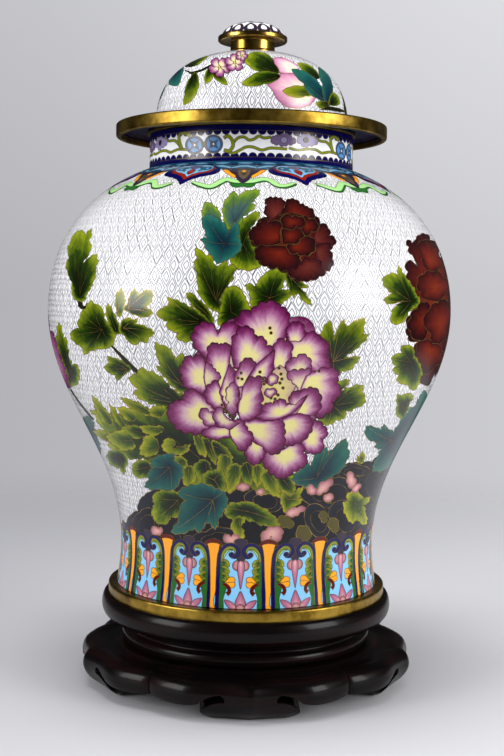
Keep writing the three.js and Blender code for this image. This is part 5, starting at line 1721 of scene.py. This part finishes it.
def leg_mesh():
    """One segment: its turned blank, sawn to the outline from the front, with its edges eased."""
    stations = 72
    gap = math.degrees(0.15 / APRON_INNER)
    bm = bmesh.new()
    rows = []
    for i in range(stations + 1):
        degrees = (180 / LEGS - gap) * (2 * i / stations - 1)
        s, c = math.sin(math.radians(degrees)), math.cos(math.radians(degrees))
        rows.append([bm.verts.new((r * s / 1000, -r * c / 1000, z / 1000)) for r,
                     z in apron_section(degrees)])
    count = len(rows[0])
    for a, b in zip(rows, rows[1:]):
        for j in range(count):
            k = (j + 1) % count
            bm.faces.new((a[j], b[j], b[k], a[k]))
    bm.faces.new(rows[0])
    bm.faces.new(rows[-1][::-1])
    bmesh.ops.recalc_face_normals(bm, faces=bm.faces)
    blank = bpy.data.meshes.new("leg_blank")
    bm.to_mesh(blank)
    bm.free()
    bm = bmesh.new()
    line = segment_outline() / 1000
    front = [bm.verts.new((x, -0.15, z)) for x, z in line]
    back = [bm.verts.new((x, -0.02, z)) for x, z in line]
    bm.faces.new(front)
    bm.faces.new(back[::-1])
    for j in range(len(line)):
        k = (j + 1) % len(line)
        bm.faces.new((front[j], back[j], back[k], front[k]))
    bmesh.ops.recalc_face_normals(bm, faces=bm.faces)
    saw = bpy.data.meshes.new("leg_saw")
    bm.to_mesh(saw)
    bm.free()
    body, cutter = bpy.data.objects.new("leg_blank", blank), bpy.data.objects.new("leg_saw", saw)
    scene.collection.objects.link(body)
    scene.collection.objects.link(cutter)
    cut = body.modifiers.new("cut", "BOOLEAN")
    cut.operation, cut.object, cut.solver = "INTERSECT", cutter, "EXACT"
    ease = body.modifiers.new("ease", "BEVEL")
    ease.width, ease.segments, ease.limit_method, ease.angle_limit = 0.0009, 3, "ANGLE", math.radians(38)
    bpy.context.view_layer.update()
    result = bpy.data.meshes.new_from_object(body.evaluated_get(bpy.context.evaluated_depsgraph_get()))
    for spare in (body, cutter):
        bpy.data.objects.remove(spare)
    return result


segment = leg_mesh()
for i in range(LEGS):
    mesh = segment.copy()
    mesh.transform(Matrix.Rotation(math.radians(STAND_TURN + i * 360 / LEGS), 4, "Z"))
    mesh.materials.clear()
    mesh.materials.append(WOOD)
    mesh.polygons.foreach_set("use_smooth", np.ones(len(mesh.polygons), bool))
    mesh.set_sharp_from_angle(angle=math.radians(40))
    leg = bpy.data.objects.new(f"leg_wood_{i + 1}", mesh)
    scene.collection.objects.link(leg)
    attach(leg, "root")
    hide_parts(f"stand_leg_{i + 1}")


# The CAD parts that the pieces stand for, hidden from view

STANDS_FOR = {
    "jar_ground": "jar_body", "lid_ground": "lid_dome", "foot_band": "jar_foot_ring",
    "mouth_band": "jar_mouth_rim", "lid_band": "lid_rim", "finial_stem": "finial_mount",
    "cap_ground": "finial_cap", "ring_wood": "stand_ring",
}
for piece_name, node_name in STANDS_FOR.items():
    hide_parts(node_name)


# The floor, fading out far from the jar, and the soft grey room

def floor():
    """A sheet with painted light, its colour brighter to the right and front, that thins out far from the
    jar.
    """
    bm = bmesh.new()
    bmesh.ops.create_grid(bm, x_segments=8, y_segments=8, size=4.0)
    mesh = bpy.data.meshes.new("floor")
    bm.to_mesh(mesh)
    bm.free()
    plane = bpy.data.objects.new("floor", mesh)
    scene.collection.objects.link(plane)
    material, tree, shader = new_material("floor_paper")
    place = node(tree, "ShaderNodeTexCoord")
    far = node(tree, "ShaderNodeVectorMath", operation="LENGTH")
    fade = node(tree, "ShaderNodeMapRange", interpolation_type="SMOOTHSTEP")
    fade.inputs["From Min"].default_value = 0.36
    fade.inputs["From Max"].default_value = 1.05
    fade.inputs["To Min"].default_value = 1.0
    fade.inputs["To Max"].default_value = 0.0
    tree.links.new(place.outputs["Object"], far.inputs[0])
    tree.links.new(far.outputs["Value"], fade.inputs["Value"])
    tree.links.new(fade.outputs["Result"], shader.inputs["Alpha"])
    parts = node(tree, "ShaderNodeSeparateXYZ")
    # painted light: the floor's colour is darker to the left and back and brighter to the right and front
    painted_light_slope = node(tree, "ShaderNodeMath", operation="MULTIPLY_ADD")
    painted_light_slope.inputs[1].default_value = -0.6
    across = node(tree, "ShaderNodeMapRange", interpolation_type="SMOOTHSTEP")
    across.inputs["From Min"].default_value = -0.7
    across.inputs["From Max"].default_value = 0.5
    tones = ramp(tree, [(0.0, (158, 158, 162)), (1.0, (200, 200, 202))])
    tree.links.new(place.outputs["Object"], parts.inputs[0])
    tree.links.new(parts.outputs["Y"], painted_light_slope.inputs[0])
    tree.links.new(parts.outputs["X"], painted_light_slope.inputs[2])
    tree.links.new(painted_light_slope.outputs[0], across.inputs["Value"])
    tree.links.new(across.outputs["Result"], tones.inputs["Fac"])
    tree.links.new(tones.outputs["Color"], shader.inputs["Base Color"])
    shader.inputs["Roughness"].default_value = 0.6
    mesh.materials.append(material)


def room():
    """Grey walls, brighter to the right and upwards, and dim in reflections."""
    world = bpy.data.worlds.new("room")
    scene.world = world
    world.use_nodes = True
    tree = world.node_tree
    tree.nodes.clear()
    place = node(tree, "ShaderNodeTexCoord")
    parts = node(tree, "ShaderNodeSeparateXYZ")
    side = node(tree, "ShaderNodeMapRange", interpolation_type="SMOOTHSTEP")
    side.inputs["From Min"].default_value = -0.3
    side.inputs["From Max"].default_value = 0.3
    tones = ramp(tree, [(0.0, (176, 176, 181)), (1.0, (205, 205, 209))])
    background = node(tree, "ShaderNodeBackground")
    path = node(tree, "ShaderNodeLightPath")
    strength = node(tree, "ShaderNodeMapRange")  # the room is dim in reflections
    strength.inputs["To Min"].default_value = 1.0
    strength.inputs["To Max"].default_value = 0.06
    tree.links.new(path.outputs["Is Glossy Ray"], strength.inputs["Value"])
    tree.links.new(strength.outputs["Result"], background.inputs["Strength"])
    out = node(tree, "ShaderNodeOutputWorld")
    tree.links.new(place.outputs["Generated"], parts.inputs[0])
    tree.links.new(parts.outputs["X"], side.inputs["Value"])
    tree.links.new(side.outputs["Result"], tones.inputs["Fac"])
    rise = node(tree, "ShaderNodeMapRange")
    rise.inputs["From Max"].default_value = 0.24
    rise.inputs["To Min"].default_value = 1.0
    rise.inputs["To Max"].default_value = 1.24
    higher = node(tree, "ShaderNodeVectorMath", operation="SCALE")
    tree.links.new(parts.outputs["Z"], rise.inputs["Value"])
    tree.links.new(tones.outputs["Color"], higher.inputs[0])
    tree.links.new(rise.outputs["Result"], higher.inputs["Scale"])
    tree.links.new(higher.outputs["Vector"], background.inputs["Color"])
    tree.links.new(background.outputs["Background"], out.inputs["Surface"])


def lamp(name, place, aim, size, power, mirrored=True):
    """A box lamp that aims at a point, and may be kept out of reflections."""
    light = bpy.data.lights.new(name, "AREA")
    light.shape, light.size, light.size_y = "RECTANGLE", size[0], size[1]
    light.energy = power
    held = bpy.data.objects.new(name, light)
    held.location = place
    held.rotation_euler = (Vector(aim) - Vector(place)).to_track_quat("-Z", "Y").to_euler()
    held.visible_camera, held.visible_glossy = False, mirrored
    scene.collection.objects.link(held)


floor()
room()
lamp("left_box", (-1.5, -0.8, 0.66), (0, 0, 0.24), (0.8, 0.9), 21)
lamp("right_box", (1.5, -0.85, 0.62), (0, 0, 0.24), (0.8, 0.9), 23)
lamp("left_fill", (-1.3, 0.35, 0.4), (0, 0, 0.24), (0.6, 0.8), 4, False)
lamp("right_fill", (1.3, 0.35, 0.4), (0, 0, 0.24), (0.6, 0.8), 6, False)
lamp("top_box", (-0.12, -0.22, 1.5), (0, 0, 0.2), (0.7, 0.6), 12, mirrored=False)

camera_data = bpy.data.cameras.new("view")
camera_data.lens, camera_data.sensor_width = LENS_MM, SENSOR_MM
camera_data.shift_x = (FRAME_SIZE[0] / 2 - HORIZON[0]) / FRAME_SIZE[1]
camera_data.shift_y = (HORIZON[1] - FRAME_SIZE[1] / 2) / FRAME_SIZE[1]
camera_data.clip_start, camera_data.clip_end = 0.05, 50
camera = bpy.data.objects.new("view", camera_data)
scene.collection.objects.link(camera)
turn = Matrix((RIGHT, UP, (0, -1, 0))).transposed().to_4x4()
camera.matrix_world = Matrix.Translation(Vector(EYE / 1000)) @ turn
scene.camera = camera
scene.view_settings.view_transform = "Standard"
